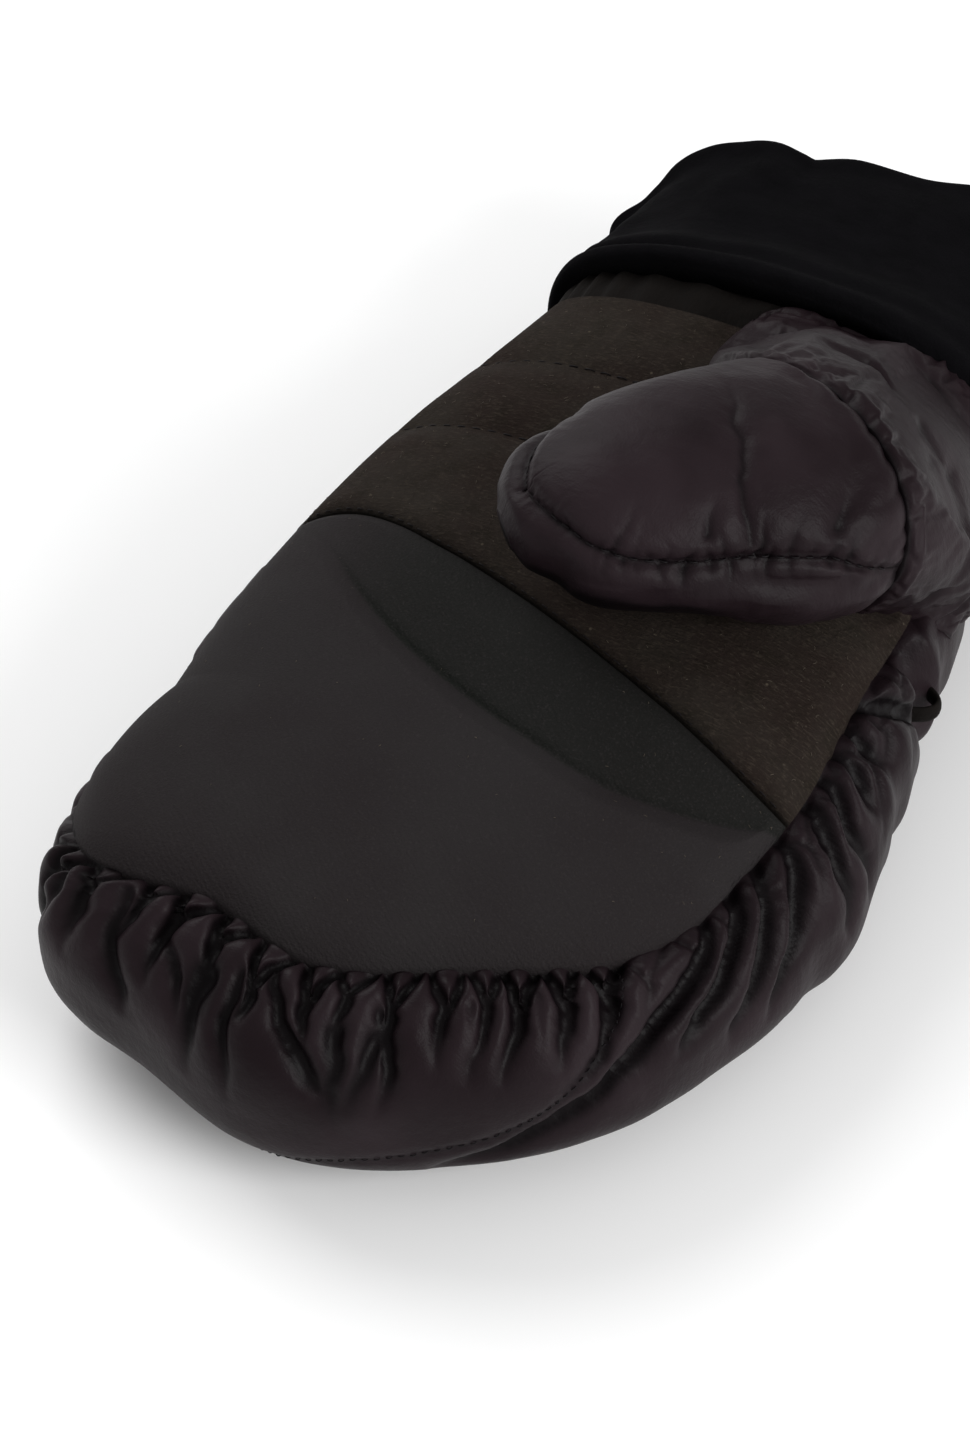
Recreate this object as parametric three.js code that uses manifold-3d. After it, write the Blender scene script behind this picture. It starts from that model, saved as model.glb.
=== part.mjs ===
// A left-hand padded winter mitten lying palm up, as a cut-and-sewn assembly of its panels.
// Lengths are millimetres. +X is the thumb side, +Y runs from the fingertips to the cuff, +Z is up
// from the surface that the back of the hand rests on. While it is built, x = 0 is the middle of the
// fingers, y = 0 the fingertips and z = 0 the floor; the finished group is centred on its own box.
import * as THREE from "three";
import { mergeVertices } from "three/addons/utils/BufferGeometryUtils.js";
import Module from "manifold-3d";

const wasm = await Module();
wasm.setup();

// Driving sizes of the hand part
const HAND_LENGTH = 188;
const HAND_WIDTH = 137;
const HAND_THICKNESS = 56;
const EQUATOR_HEIGHT = 25;
const TIP_CENTRE_FORWARD = 62;
const TIP_CENTRE_ASIDE = -6;
const SHELL_WALL = 9;
const PALM_WALL = 6;
const SEAM_GAP = 0.5;
const REST_FLAT = 1.8;

// Driving sizes of the sewn detail
const SEAM_INSET = 14;
const SEAM_DIP = 2.2;
const SEAM_DIP_WIDTH = 7;
const GATHER_DEPTH = 3.6;
const GATHER_UNEVEN = 0.4;
const BACK_LINE_DEPTH = 3.2;
const BACK_LINE_WIDTH = 11;
const PALM_LINE_DEPTH = 2.8;
const PALM_LINE_WIDTH = 20;
const CREASE_DEPTH = 3.2;
const CREASE_WIDTH = 15;
const TIP_FOLD_DEPTH = 3.4;
const TIP_FOLD_WIDTH = 13;
const MID_SEAM_LEFT = 108;
const MID_SEAM_RIGHT = 76;
const MID_SEAM_BOW = 7.5;

// Driving sizes of the thumb. Its line starts beside the wrist and heads back over the palm.
const THUMB_ROOT_ASIDE = 47;
const THUMB_ROOT_SETBACK = 26;
const THUMB_ROOT_FORWARD = HAND_LENGTH - THUMB_ROOT_SETBACK;
const THUMB_HEADING = 230;
const THUMB_REACH = 90;
const THUMB_RISE = 75;
const THUMB_WIDTH = 58;
const THUMB_HEIGHT = 47;
const THUMB_WALL = 6;
const THUMB_GAP = 0.4;
const THUMB_BASE_SEAM = 0.33;
const THUMB_SEAM_TURN = 2;
const THUMB_PINCH = 2.4;
const THUMB_PINCH_WIDTH = 0.16;
const THUMB_GATHERS = 15;
const THUMB_GATHER_DEPTH = 0.9;

// Driving sizes of the wrist band, the cuff and the side loop
const BAND_WALL = 3;
const BAND_LENGTH = 16;
const BAND_INSET = 7.6;
const BAND_GATHER_DEPTH = 0.8;
const CUFF_SETBACK = 1.6;
const CUFF_WALL = 4;
const CUFF_LENGTH = 56;
const CUFF_WAVE = 3;
const CUFF_SLANT = 15;
const LOOP_THICK = 1.6;
const LOOP_LENGTH = 8;
const LOOP_WIDTH = 4;
const LOOP_HEIGHT = 27;
const LOOP_STANDS_OUT = 0;
const LOOP_BURIED = 7;
const LOOP_FORWARD = 132;
const LOOP_GAP = 0.3;

// Outline of the hand between the wrist and the middle of the fingertips' round.
// at: share of HAND_LENGTH from the fingertips. left, right: half widths as shares of HAND_WIDTH.
// crown: height of the palm as a share of HAND_THICKNESS.
const HAND_SECTIONS = [
  { at: 0.33, left: 0.497, right: 0.452, crown: 0.98 },
  { at: 0.45, left: 0.502, right: 0.478, crown: 1.0 },
  { at: 0.56, left: 0.494, right: 0.478, crown: 1.0 },
  { at: 0.675, left: 0.478, right: 0.45, crown: 0.99 },
  { at: 0.77, left: 0.456, right: 0.43, crown: 0.97 },
  { at: 0.88, left: 0.42, right: 0.405, crown: 0.94 },
  { at: 1.0, left: 0.384, right: 0.38, crown: 0.9 },
];

// Outline of the fingertips round their centre. turn: share of the half turn from the left side to the
// thumb side. reach: distance from the centre as a share of HAND_WIDTH.
const TIP_OUTLINE = [
  { turn: 0.0, reach: 0.46 },
  { turn: 0.155, reach: 0.53 },
  { turn: 0.255, reach: 0.58 },
  { turn: 0.365, reach: 0.53 },
  { turn: 0.49, reach: 0.53 },
  { turn: 0.655, reach: 0.492 },
  { turn: 0.845, reach: 0.486 },
  { turn: 1.0, reach: 0.495 },
];

// How far the palm seam lies inside the outline. along: share of the way round the hand from the left
// wrist to the right wrist. inset: share of SEAM_INSET. gather: share of GATHER_DEPTH there.
// lean: how many gathers each one shifts between the palm seam and the floor.
const SEAM_TABLE = [
  { along: 0.0, inset: 0.18, gather: 0.0, lean: 0.0 },
  { along: 0.2, inset: 0.18, gather: 0.0, lean: 0.0 },
  { along: 0.3, inset: 0.28, gather: 0.25, lean: 0.0 },
  { along: 0.345, inset: 0.5, gather: 0.9, lean: 0.2 },
  { along: 0.42, inset: 1.3, gather: 1.0, lean: 0.3 },
  { along: 0.52, inset: 1.4, gather: 1.0, lean: 0.0 },
  { along: 0.6, inset: 1.3, gather: 1.0, lean: -0.5 },
  { along: 0.68, inset: 0.8, gather: 1.0, lean: -1.0 },
  { along: 0.85, inset: 0.6, gather: 0.9, lean: -1.2 },
  { along: 1.0, inset: 0.6, gather: 0.0, lean: -1.2 },
];

// The fold that runs from the palm seam on the thumb side, down and round under the fingertips.
// turn: share of the fingertips' half turn. down: share of the way from the palm seam to the floor.
// depth: share of TIP_FOLD_DEPTH.
const TIP_FOLD = [
  { turn: 0.2, down: 0.8, depth: 0.0 },
  { turn: 0.4, down: 0.76, depth: 0.5 },
  { turn: 0.58, down: 0.68, depth: 1.0 },
  { turn: 0.72, down: 0.52, depth: 1.0 },
  { turn: 0.82, down: 0.32, depth: 0.8 },
  { turn: 0.92, down: 0.14, depth: 0.0 },
];

// Crease across the finger panel. across: share of the panel's width. drop: distance from the middle
// seam towards the fingertips as a share of HAND_LENGTH. depth: share of CREASE_DEPTH.
const CREASE = [
  { across: 0.0, drop: 0.05, depth: 0.0 },
  { across: 0.2, drop: 0.062, depth: 0.5 },
  { across: 0.4, drop: 0.08, depth: 1.0 },
  { across: 0.6, drop: 0.082, depth: 1.0 },
  { across: 0.8, drop: 0.06, depth: 0.9 },
  { across: 1.0, drop: 0.03, depth: 0.5 },
];

// Quilting lines across the back. at: share of HAND_LENGTH. left, right: share of BACK_LINE_DEPTH.
const BACK_LINES = [
  { at: 0.37, left: 0.7, right: 0.3 },
  { at: 0.57, left: 0.7, right: 0.4 },
  { at: 0.695, left: 0.2, right: 1.6 },
  { at: 0.76, left: 0.7, right: 0.3 },
  { at: 0.88, left: 0.6, right: 0.4 },
];

// Sewn lines across the palm, as shares of HAND_LENGTH. depth: share of PALM_LINE_DEPTH.
const PALM_LINES = [
  { left: 0.757, right: 0.72, depth: 1.0 },
  { left: 0.884, right: 0.87, depth: 0.9 },
];

// Sections of the thumb from beside the wrist to its tip. along: share of THUMB_REACH over the floor.
// aside: share of THUMB_WIDTH towards the palm's middle. rise: height as a share of THUMB_RISE.
// wide, high: shares of THUMB_WIDTH and THUMB_HEIGHT.
const THUMB_SECTIONS = [
  { along: 0.0, aside: 0.4, rise: 0.38, wide: 0.46, high: 0.5 },
  { along: 0.015, aside: 0.38, rise: 0.52, wide: 0.68, high: 0.78 },
  { along: 0.055, aside: 0.32, rise: 0.66, wide: 0.84, high: 0.96 },
  { along: 0.14, aside: 0.17, rise: 0.77, wide: 0.97, high: 1.02 },
  { along: 0.35, aside: 0.0, rise: 0.87, wide: 0.97, high: 0.93 },
  { along: 0.565, aside: -0.01, rise: 0.96, wide: 0.84, high: 0.79 },
  { along: 0.77, aside: 0.0, rise: 1.0, wide: 0.71, high: 0.67 },
  { along: 0.88, aside: 0.04, rise: 1.0, wide: 0.54, high: 0.52 },
  { along: 0.955, aside: 0.05, rise: 0.99, wide: 0.31, high: 0.31 },
  { along: 0.985, aside: 0.055, rise: 0.985, wide: 0.14, high: 0.14 },
];

// Sections of the cuff. at: share of CUFF_LENGTH from its hand edge. left, right, top: amounts by which
// it stands outside the hand's own wrist, as shares of CUFF_WALL.
const CUFF_SECTIONS = [
  { at: 0.0, left: -0.45, right: 0.6, top: 0.2 },
  { at: 0.06, left: 0.1, right: 1.0, top: 0.8 },
  { at: 0.16, left: 0.2, right: 1.2, top: 1.0 },
  { at: 0.35, left: -0.5, right: 1.1, top: 0.5 },
  { at: 0.55, left: -0.8, right: 1.2, top: 0.3 },
  { at: 0.8, left: -0.7, right: 1.5, top: 0.3 },
  { at: 1.0, left: -0.5, right: 1.8, top: -0.2 },
];

// Steps that the curved walls are cut into
const SIDE_STEPS = 34;
const TIP_FOLDS = 20;
const STEPS_PER_TIP_FOLD = 4;
const STEPS_PER_SIDE_FOLD = 3;
const PANEL_ROWS = 10;
const PANEL_ROW_CROWDING = 1.25;
const PALM_ROWS = 16;
const PALM_COLUMNS = 18;
const THUMB_STEPS = 12;
const HEEL_STEPS = 8;
const THUMB_SIDES = 20;
const WRIST_SIDES = 40;
const CUFF_STEPS = 9;
const CUFF_INNER_STEPS = 4;
const TOP_POWER = 2.6;
const BOTTOM_POWER = 3;

const clamp = (value, low, high) => Math.min(Math.max(value, low), high);
const mix = (a, b, t) => a + (b - a) * t;
const smooth = (t) => t * t * (3 - 2 * t);

// The value of one column of a table at a place, on a smooth curve through its rows.
function column(table, place, key, name) {
  const last = table.length - 1;
  let i = 0;
  while (i < last - 1 && place > table[i + 1][key]) i++;
  const a = table[i];
  const b = table[i + 1];
  const t = clamp((place - a[key]) / (b[key] - a[key]), 0, 1);
  const before = table[Math.max(i - 1, 0)];
  const after = table[Math.min(i + 2, last)];
  const span = b[key] - a[key];
  const slopeA = ((b[name] - before[name]) / (b[key] - before[key])) * span;
  const slopeB = ((after[name] - a[name]) / (after[key] - a[key])) * span;
  const t2 = t * t;
  const t3 = t2 * t;
  return (
    (2 * t3 - 3 * t2 + 1) * a[name] +
    (t3 - 2 * t2 + t) * slopeA +
    (3 * t2 - 2 * t3) * b[name] +
    (t3 - t2) * slopeB
  );
}

// A soft valley of the given width: 1 on its line and 0 outside it.
function valley(distance, width) {
  const t = clamp(Math.abs(distance) / (width / 2), 0, 1);
  return (1 - t * t) ** 2;
}

const leftEdge = (y) => -HAND_WIDTH * column(HAND_SECTIONS, y / HAND_LENGTH, "at", "left");
const rightEdge = (y) => HAND_WIDTH * column(HAND_SECTIONS, y / HAND_LENGTH, "at", "right");
const crownHeight = (y) => HAND_THICKNESS * column(HAND_SECTIONS, y / HAND_LENGTH, "at", "crown");

// The middle line of the hand, which ends at the centre of the fingertips' round.
function spineAt(y) {
  const settle = smooth(clamp((y - TIP_CENTRE_FORWARD) / TIP_CENTRE_FORWARD, 0, 1));
  return mix(TIP_CENTRE_ASIDE, (leftEdge(y) + rightEdge(y)) / 2, settle);
}

// Half width of the hand on one side of the middle line, or the reach of the round.
function sideReach(y, side) {
  return side < 0 ? spineAt(y) - leftEdge(y) : rightEdge(y) - spineAt(y);
}
const TIP_LEFT = column(TIP_OUTLINE, 0, "turn", "reach") * HAND_WIDTH;
const TIP_RIGHT = column(TIP_OUTLINE, 1, "turn", "reach") * HAND_WIDTH;
const tipCorrection = (turn) =>
  mix(
    sideReach(TIP_CENTRE_FORWARD, -1) / TIP_LEFT,
    sideReach(TIP_CENTRE_FORWARD, 1) / TIP_RIGHT,
    turn,
  );
const tipReach = (turn) =>
  HAND_WIDTH * column(TIP_OUTLINE, turn, "turn", "reach") * tipCorrection(turn);

// Where a point over the floor lies: q is 0 on the middle line and 1 on the outline.
function planPlace(x, y) {
  const dx = x - TIP_CENTRE_ASIDE;
  const dy = y - TIP_CENTRE_FORWARD;
  if (dy >= 0) {
    const across = x - spineAt(y);
    return { q: Math.abs(across) / sideReach(y, across), reach: sideReach(y, across) };
  }
  const reach = tipReach((Math.atan2(-dy, dx) * -1) / Math.PI + 1);
  return { q: Math.hypot(dx, dy) / reach, reach };
}

// Smooth outer height of the palm side, without its seams and folds.
function palmHeight(x, y) {
  const { q } = planPlace(x, y);
  const fall = Math.max(1 - Math.min(q, 1) ** TOP_POWER, 0) ** (1 / TOP_POWER);
  return EQUATOR_HEIGHT + (crownHeight(Math.max(y, TIP_CENTRE_FORWARD)) - EQUATOR_HEIGHT) * fall;
}

// Stations round the hand from the left wrist, round the fingertips, to the right wrist.
function makeStations() {
  const stations = [];
  const side = (y, sign) => {
    const x = sign < 0 ? leftEdge(y) : rightEdge(y);
    stations.push({ spine: [spineAt(y), y], edge: [x, y], turn: sign < 0 ? 0 : 1 });
  };
  for (let i = 0; i < SIDE_STEPS; i++) side(mix(HAND_LENGTH, TIP_CENTRE_FORWARD, i / SIDE_STEPS), -1);
  const tipSteps = TIP_FOLDS * STEPS_PER_TIP_FOLD;
  for (let i = 0; i <= tipSteps; i++) {
    const turn = i / tipSteps;
    const angle = Math.PI * (1 + turn);
    const reach = tipReach(turn);
    stations.push({
      spine: [TIP_CENTRE_ASIDE, TIP_CENTRE_FORWARD],
      edge: [
        TIP_CENTRE_ASIDE + reach * Math.cos(angle),
        TIP_CENTRE_FORWARD + (turn > 0 && turn < 1 ? reach * Math.sin(angle) : 0),
      ],
      turn,
    });
  }
  for (let i = SIDE_STEPS - 1; i >= 0; i--) side(mix(HAND_LENGTH, TIP_CENTRE_FORWARD, i / SIDE_STEPS), 1);
  let length = 0;
  stations.forEach((s, i) => {
    if (i) {
      const before = stations[i - 1].edge;
      length += Math.hypot(s.edge[0] - before[0], s.edge[1] - before[1]);
    }
    s.run = length;
  });
  for (const s of stations) {
    s.along = s.run / length;
    s.reach = Math.hypot(s.edge[0] - s.spine[0], s.edge[1] - s.spine[1]);
    s.toward = [(s.edge[0] - s.spine[0]) / s.reach, (s.edge[1] - s.spine[1]) / s.reach];
    s.inset = SEAM_INSET * column(SEAM_TABLE, s.along, "along", "inset");
    s.innerInset = Math.max(s.inset, SHELL_WALL + 3);
    s.gather = GATHER_DEPTH * clamp(column(SEAM_TABLE, s.along, "along", "gather"), 0, 1);
    s.lean = column(SEAM_TABLE, s.along, "along", "lean");
  }
  let folds = 0;
  stations.forEach((s, i) => {
    s.folds = folds;
    const onTip = i >= SIDE_STEPS && i < SIDE_STEPS + tipSteps;
    folds += 1 / (onTip ? STEPS_PER_TIP_FOLD : STEPS_PER_SIDE_FOLD);
  });
  return stations;
}
const STATIONS = makeStations();

const planPoint = (s, distance) => [
  s.spine[0] + s.toward[0] * distance,
  s.spine[1] + s.toward[1] * distance,
];

// The two lines shared by the panels that meet at the palm seam: its upper and its lower edge. shift
// moves them outwards and down for the shell, and inwards and up for the palm side.
function seamUpper(s, shift) {
  const [x, y] = planPoint(s, s.reach - s.inset + shift);
  return [x, y, palmHeight(...planPoint(s, s.reach - s.inset)) - SEAM_DIP - shift];
}
function seamLower(s, shift) {
  const [x, y] = planPoint(s, s.reach - s.innerInset + shift);
  return [x, y, palmHeight(...planPoint(s, s.reach - s.innerInset)) - SEAM_DIP - PALM_WALL - shift];
}

// How deep a gather pulls in at a station. down: share of the way from the palm seam to the floor.
function gatherDepth(s, down) {
  const place = s.folds + s.lean * down;
  const uneven = 1 - GATHER_UNEVEN * (0.5 + 0.5 * Math.sin(2.4 * Math.floor(place)));
  return s.gather * uneven * (1 - Math.abs(Math.sin(Math.PI * place)) ** 0.8) * (1 - down) ** 1.2;
}

// How deep the back's quilting lines pull in at a place. across: -1 on the left outline, 1 on the right.
function backLineDepth(y, across) {
  let depth = 0;
  for (const line of BACK_LINES) {
    const share = mix(line.left, line.right, (1 + across) / 2);
    depth += BACK_LINE_DEPTH * share * valley(y - line.at * HAND_LENGTH, BACK_LINE_WIDTH);
  }
  return depth;
}

function tipFoldDepth(s, down) {
  if (s.turn <= TIP_FOLD[0].turn || s.turn >= TIP_FOLD.at(-1).turn) return 0;
  const line = column(TIP_FOLD, s.turn, "turn", "down");
  const depth = TIP_FOLD_DEPTH * column(TIP_FOLD, s.turn, "turn", "depth");
  return depth * valley((down - line) * HAND_THICKNESS * 1.4, TIP_FOLD_WIDTH);
}

// One point of the shell's outer face. lift is the angle above or below the outline, in degrees.
function shellOuterPoint(s, lift, down) {
  const angle = (Math.abs(lift) * Math.PI) / 180;
  const power = lift > 0 ? TOP_POWER : BOTTOM_POWER;
  const q = lift <= -90 ? 0 : Math.cos(angle) ** (2 / power);
  const rise = Math.sin(angle) ** (2 / power);
  const crown = crownHeight(Math.max(s.spine[1], TIP_CENTRE_FORWARD));
  const z =
    lift > 0
      ? EQUATOR_HEIGHT + (crown - EQUATOR_HEIGHT) * rise
      : EQUATOR_HEIGHT * (1 - rise);
  const [flatX, flatY] = planPoint(s, s.reach * q);
  const gather = gatherDepth(s, down);
  const quilt = backLineDepth(flatY, Math.sign(s.turn - 0.5) * Math.sqrt(q));
  const sideShare = lift > 0 ? 0.6 : Math.cos(angle) ** 0.5;
  const inward = gather + quilt * sideShare + tipFoldDepth(s, down);
  const outX = Math.cos(angle) * s.toward[0];
  const outY = Math.cos(angle) * s.toward[1];
  const outZ = Math.sin(angle) * Math.sign(lift);
  const lowered = lift > 0 ? z : Math.max(z - REST_FLAT, 0);
  const groove = lift > 0 ? 0 : quilt * Math.sin(angle);
  return [
    flatX - outX * inward,
    flatY - outY * inward,
    Math.max(lowered - Math.max(outZ, 0) * inward, 0) + groove,
  ];
}

const UPPER_LIFTS = [0.78, 0.52, 0.26];
const LOWER_LIFTS = [0, 20, 40, 58, 74, 90];

function shellOuterRow(s) {
  const top = (s.reach - s.inset) / s.reach;
  const startLift = (Math.acos(top ** (TOP_POWER / 2)) * 180) / Math.PI;
  const rows = [seamUpper(s, SEAM_GAP / 2)];
  rows[0][2] -= gatherDepth(s, 0) / 2;
  const total = startLift + 60;
  for (const share of UPPER_LIFTS) {
    rows.push(shellOuterPoint(s, startLift * share, (startLift * (1 - share)) / total));
  }
  for (const lift of LOWER_LIFTS) {
    rows.push(shellOuterPoint(s, -lift, clamp((startLift + lift) / total, 0, 1)));
  }
  return rows;
}

const INNER_LIFTS = [0, 30, 58, 90];

function shellInnerRow(s) {
  const rows = [seamLower(s, SEAM_GAP / 2)];
  const reach = s.reach - SHELL_WALL;
  for (const lift of INNER_LIFTS) {
    const angle = (lift * Math.PI) / 180;
    const q = lift >= 90 ? 0 : Math.cos(angle) ** (2 / BOTTOM_POWER);
    const rise = Math.sin(angle) ** (2 / BOTTOM_POWER);
    const [x, y] = planPoint(s, reach * q);
    rows.push([x, y, EQUATOR_HEIGHT - (EQUATOR_HEIGHT - SHELL_WALL) * rise]);
  }
  return rows;
}

// Turns triangles of points into a closed mesh: like corners are merged and empty triangles left out.
function solidFrom(triangles) {
  const positions = new Float32Array(triangles.flat(2));
  const raw = new THREE.BufferGeometry();
  raw.setAttribute("position", new THREE.BufferAttribute(positions, 3));
  const merged = mergeVertices(raw, 1e-3);
  const index = merged.index.array;
  const kept = [];
  for (let i = 0; i < index.length; i += 3) {
    const [a, b, c] = [index[i], index[i + 1], index[i + 2]];
    if (a !== b && b !== c && a !== c) kept.push(a, b, c);
  }
  merged.setIndex(kept);
  return merged;
}

// Adds the faces of a grid of points, seen from its front when rows run down and columns to the right.
function addGrid(triangles, grid, flip) {
  for (let i = 0; i + 1 < grid.length; i++) {
    for (let j = 0; j + 1 < grid[i].length; j++) {
      const [a, b, c, d] = [grid[i][j], grid[i + 1][j], grid[i + 1][j + 1], grid[i][j + 1]];
      if (flip) triangles.push([a, c, b], [a, d, c]);
      else triangles.push([a, b, c], [a, c, d]);
    }
  }
}

// Joins two lines of points that may have different numbers of points.
function addRibbon(triangles, first, second, flip) {
  let i = 0;
  let j = 0;
  while (i + 1 < first.length || j + 1 < second.length) {
    const nextFirst = (i + 1) / (first.length - 1);
    const nextSecond = (j + 1) / (second.length - 1);
    const stepFirst = j + 1 >= second.length || (i + 1 < first.length && nextFirst <= nextSecond);
    const third = stepFirst ? first[i + 1] : second[j + 1];
    if (flip) triangles.push([first[i], third, second[j]]);
    else triangles.push([first[i], second[j], third]);
    if (stepFirst) i++;
    else j++;
  }
}

// A wall between an outer and an inner grid. edges tells how many of its long edges are open ones:
// two for a strip, one where its last points meet on a middle line, none where it closes on itself.
function wallTriangles(outer, inner, edges, flip = true) {
  const triangles = [];
  addGrid(triangles, outer, flip);
  addGrid(triangles, inner, !flip);
  if (edges > 0) addRibbon(triangles, outer.map((row) => row[0]), inner.map((row) => row[0]), flip);
  if (edges > 1) {
    addRibbon(triangles, outer.map((row) => row.at(-1)), inner.map((row) => row.at(-1)), !flip);
  }
  addRibbon(triangles, outer[0], inner[0], !flip);
  addRibbon(triangles, outer.at(-1), inner.at(-1), flip);
  return triangles;
}
const wallSolid = (...grids) => solidFrom(wallTriangles(...grids));

function makeBackShell() {
  return wallSolid(STATIONS.map(shellOuterRow), STATIONS.map(shellInnerRow), 1);
}

// y of the middle seam, which divides the finger panel from the palm, at a share of the palm's width.
function midSeam(across) {
  return mix(MID_SEAM_LEFT, MID_SEAM_RIGHT, smooth(across)) + MID_SEAM_BOW * Math.sin(Math.PI * across);
}

// x of the palm seam at a height over the floor, on one side of the hand.
function seamSide(y, side, lower) {
  const stations = side < 0 ? STATIONS : [...STATIONS].reverse();
  let i = 0;
  while (i < SIDE_STEPS - 1 && stations[i + 1].edge[1] > y) i++;
  const t = (y - stations[i].edge[1]) / (stations[i + 1].edge[1] - stations[i].edge[1]);
  const shift = -SEAM_GAP / 2;
  const at = (s) => (lower ? seamLower(s, shift) : seamUpper(s, shift))[0];
  return mix(at(stations[i]), at(stations[i + 1]), t);
}

// How far the sewn edges and folds of the palm side lie under its smooth height.
function palmRelief(x, y) {
  const { q, reach } = planPlace(x, y);
  const fromOutline = (1 - q) * reach;
  const left = seamSide(Math.max(y, TIP_CENTRE_FORWARD), -1, false);
  const right = seamSide(Math.max(y, TIP_CENTRE_FORWARD), 1, false);
  const across = clamp((x - left) / (right - left), 0, 1);
  const station = STATIONS[Math.round(nearestStation(x, y))];
  const edge = SEAM_DIP * valley(Math.max(fromOutline - station.inset, 0), 2 * SEAM_DIP_WIDTH);
  const middle = midSeam(across);
  const seam = SEAM_DIP * valley(y - middle, 2 * SEAM_DIP_WIDTH) * (1 - edge / SEAM_DIP);
  if (y > middle) {
    let line = 0;
    for (const { left: from, right: to, depth } of PALM_LINES) {
      const t = clamp(Math.abs(y - HAND_LENGTH * mix(from, to, across)) / (PALM_LINE_WIDTH / 2), 0, 1);
      line = Math.max(line, depth * PALM_LINE_DEPTH * (1 - t) ** 1.6);
    }
    return Math.max(edge, seam, line * (1 - edge / SEAM_DIP));
  }
  const drop = middle - y - HAND_LENGTH * column(CREASE, across, "across", "drop");
  const depth = CREASE_DEPTH * column(CREASE, across, "across", "depth");
  return Math.max(edge, seam, depth * valley(drop, CREASE_WIDTH) * (1 - edge / SEAM_DIP));
}

function nearestStation(x, y) {
  let best = 0;
  let least = Infinity;
  STATIONS.forEach((s, i) => {
    const [sx, sy] = planPoint(s, s.reach - s.inset);
    const far = Math.hypot(sx - x, sy - y);
    if (far < least) {
      least = far;
      best = i;
    }
  });
  return best;
}

function palmPoint(x, y, lower) {
  const top = palmHeight(x, y) - palmRelief(x, y);
  return [x, y, lower ? palmHeight(x, y) - SEAM_DIP - PALM_WALL + SEAM_GAP / 2 : top];
}

function makePalmPanel() {
  const grid = (lower, rows, columns) => {
    const made = [];
    for (let j = 0; j <= rows; j++) {
      const row = [];
      for (let i = 0; i <= columns; i++) {
        const across = i / columns;
        const y = mix(midSeam(across) + SEAM_GAP / 2, HAND_LENGTH, j / rows);
        const x = mix(seamSide(y, -1, lower), seamSide(y, 1, lower), across);
        row.push(palmPoint(x, y, lower));
      }
      made.push(row);
    }
    return made;
  };
  const fine = grid(false, PALM_ROWS, PALM_COLUMNS);
  return wallSolid(fine, grid(true, PALM_ROWS / 2, PALM_COLUMNS / 2), 2);
}

// The finger panel's lines run from the middle seam to the palm seam round the fingertips.
function makeFingerPanel() {
  const leftY = midSeam(0) - SEAM_GAP / 2;
  const rightY = midSeam(1) - SEAM_GAP / 2;
  const stations = STATIONS.filter((s, i) => {
    const onSide = i < SIDE_STEPS || i >= STATIONS.length - SIDE_STEPS;
    const limit = (i < STATIONS.length / 2 ? leftY : rightY) - 2;
    return i % 2 === 0 && !(onSide && s.edge[1] >= limit);
  });
  const shift = -SEAM_GAP / 2;
  const grid = (lower, rows, every) => {
    const corner = (y, side) => {
      const point = palmPoint(seamSide(y, side, lower), y, lower);
      return Array.from({ length: rows + 1 }, () => point);
    };
    const made = [corner(leftY, -1)];
    stations.forEach((s, i) => {
      if (i % every) return;
      const across = (i + 1) / (stations.length + 1);
      const startY = midSeam(across) - SEAM_GAP / 2;
      const startX = mix(seamSide(startY, -1, lower), seamSide(startY, 1, lower), across);
      const [endX, endY] = lower ? seamLower(s, shift) : seamUpper(s, shift);
      const line = [];
      for (let j = 0; j <= rows; j++) {
        const t = (j / rows) ** PANEL_ROW_CROWDING;
        line.push(palmPoint(mix(startX, endX, t), mix(startY, endY, t), lower));
      }
      made.push(line);
    });
    made.push(corner(rightY, 1));
    return made;
  };
  return wallSolid(grid(false, PANEL_ROWS, 1), grid(true, PANEL_ROWS / 2, 2), 2);
}

// Joining and cutting of closed meshes
function toSolid(geometry) {
  return new wasm.Manifold(
    new wasm.Mesh({
      numProp: 3,
      vertProperties: new Float32Array(geometry.attributes.position.array),
      triVerts: new Uint32Array(geometry.index.array),
    }),
  );
}

function toGeometry(solid) {
  const parts = solid.decompose().sort((a, b) => b.volume() - a.volume());
  const mesh = parts[0].getMesh();
  const geometry = new THREE.BufferGeometry();
  const points = [];
  for (const vertex of mesh.triVerts) {
    const at = vertex * mesh.numProp;
    points.push(...mesh.vertProperties.slice(at, at + 3));
  }
  geometry.setAttribute("position", new THREE.Float32BufferAttribute(points, 3));
  return mergeVertices(geometry, 1e-4);
}

// The space inside the hand, closed at the wrist. extra is how far its wrist end reaches past the hand.
function makeHandInside(extra) {
  const rows = STATIONS.map((s) => {
    const row = shellInnerRow(s);
    const under = palmHeight(...s.spine) - SEAM_DIP - PALM_WALL;
    const [x, y] = planPoint(s, (s.reach - s.innerInset) / 2);
    return [[...s.spine, under], [x, y, palmHeight(x, y) - SEAM_DIP - PALM_WALL], ...row];
  });
  const stretch = (row) => row.map(([x, y, z]) => [x, y + extra, z]);
  if (extra) {
    rows.unshift(stretch(rows[0]));
    rows.push(stretch(rows.at(-1)));
  }
  const triangles = [];
  addGrid(triangles, rows, true);
  addRibbon(triangles, rows[0], rows.at(-1), false);
  return solidFrom(triangles);
}

// Frames along the thumb's line, each with its middle point and its two half sizes.
const thumbHeading = new THREE.Vector3(
  Math.cos((THUMB_HEADING * Math.PI) / 180),
  Math.sin((THUMB_HEADING * Math.PI) / 180),
  0,
);
const UP = new THREE.Vector3(0, 0, 1);
const thumbAside = new THREE.Vector3().crossVectors(thumbHeading, UP).multiplyScalar(1);

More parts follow.
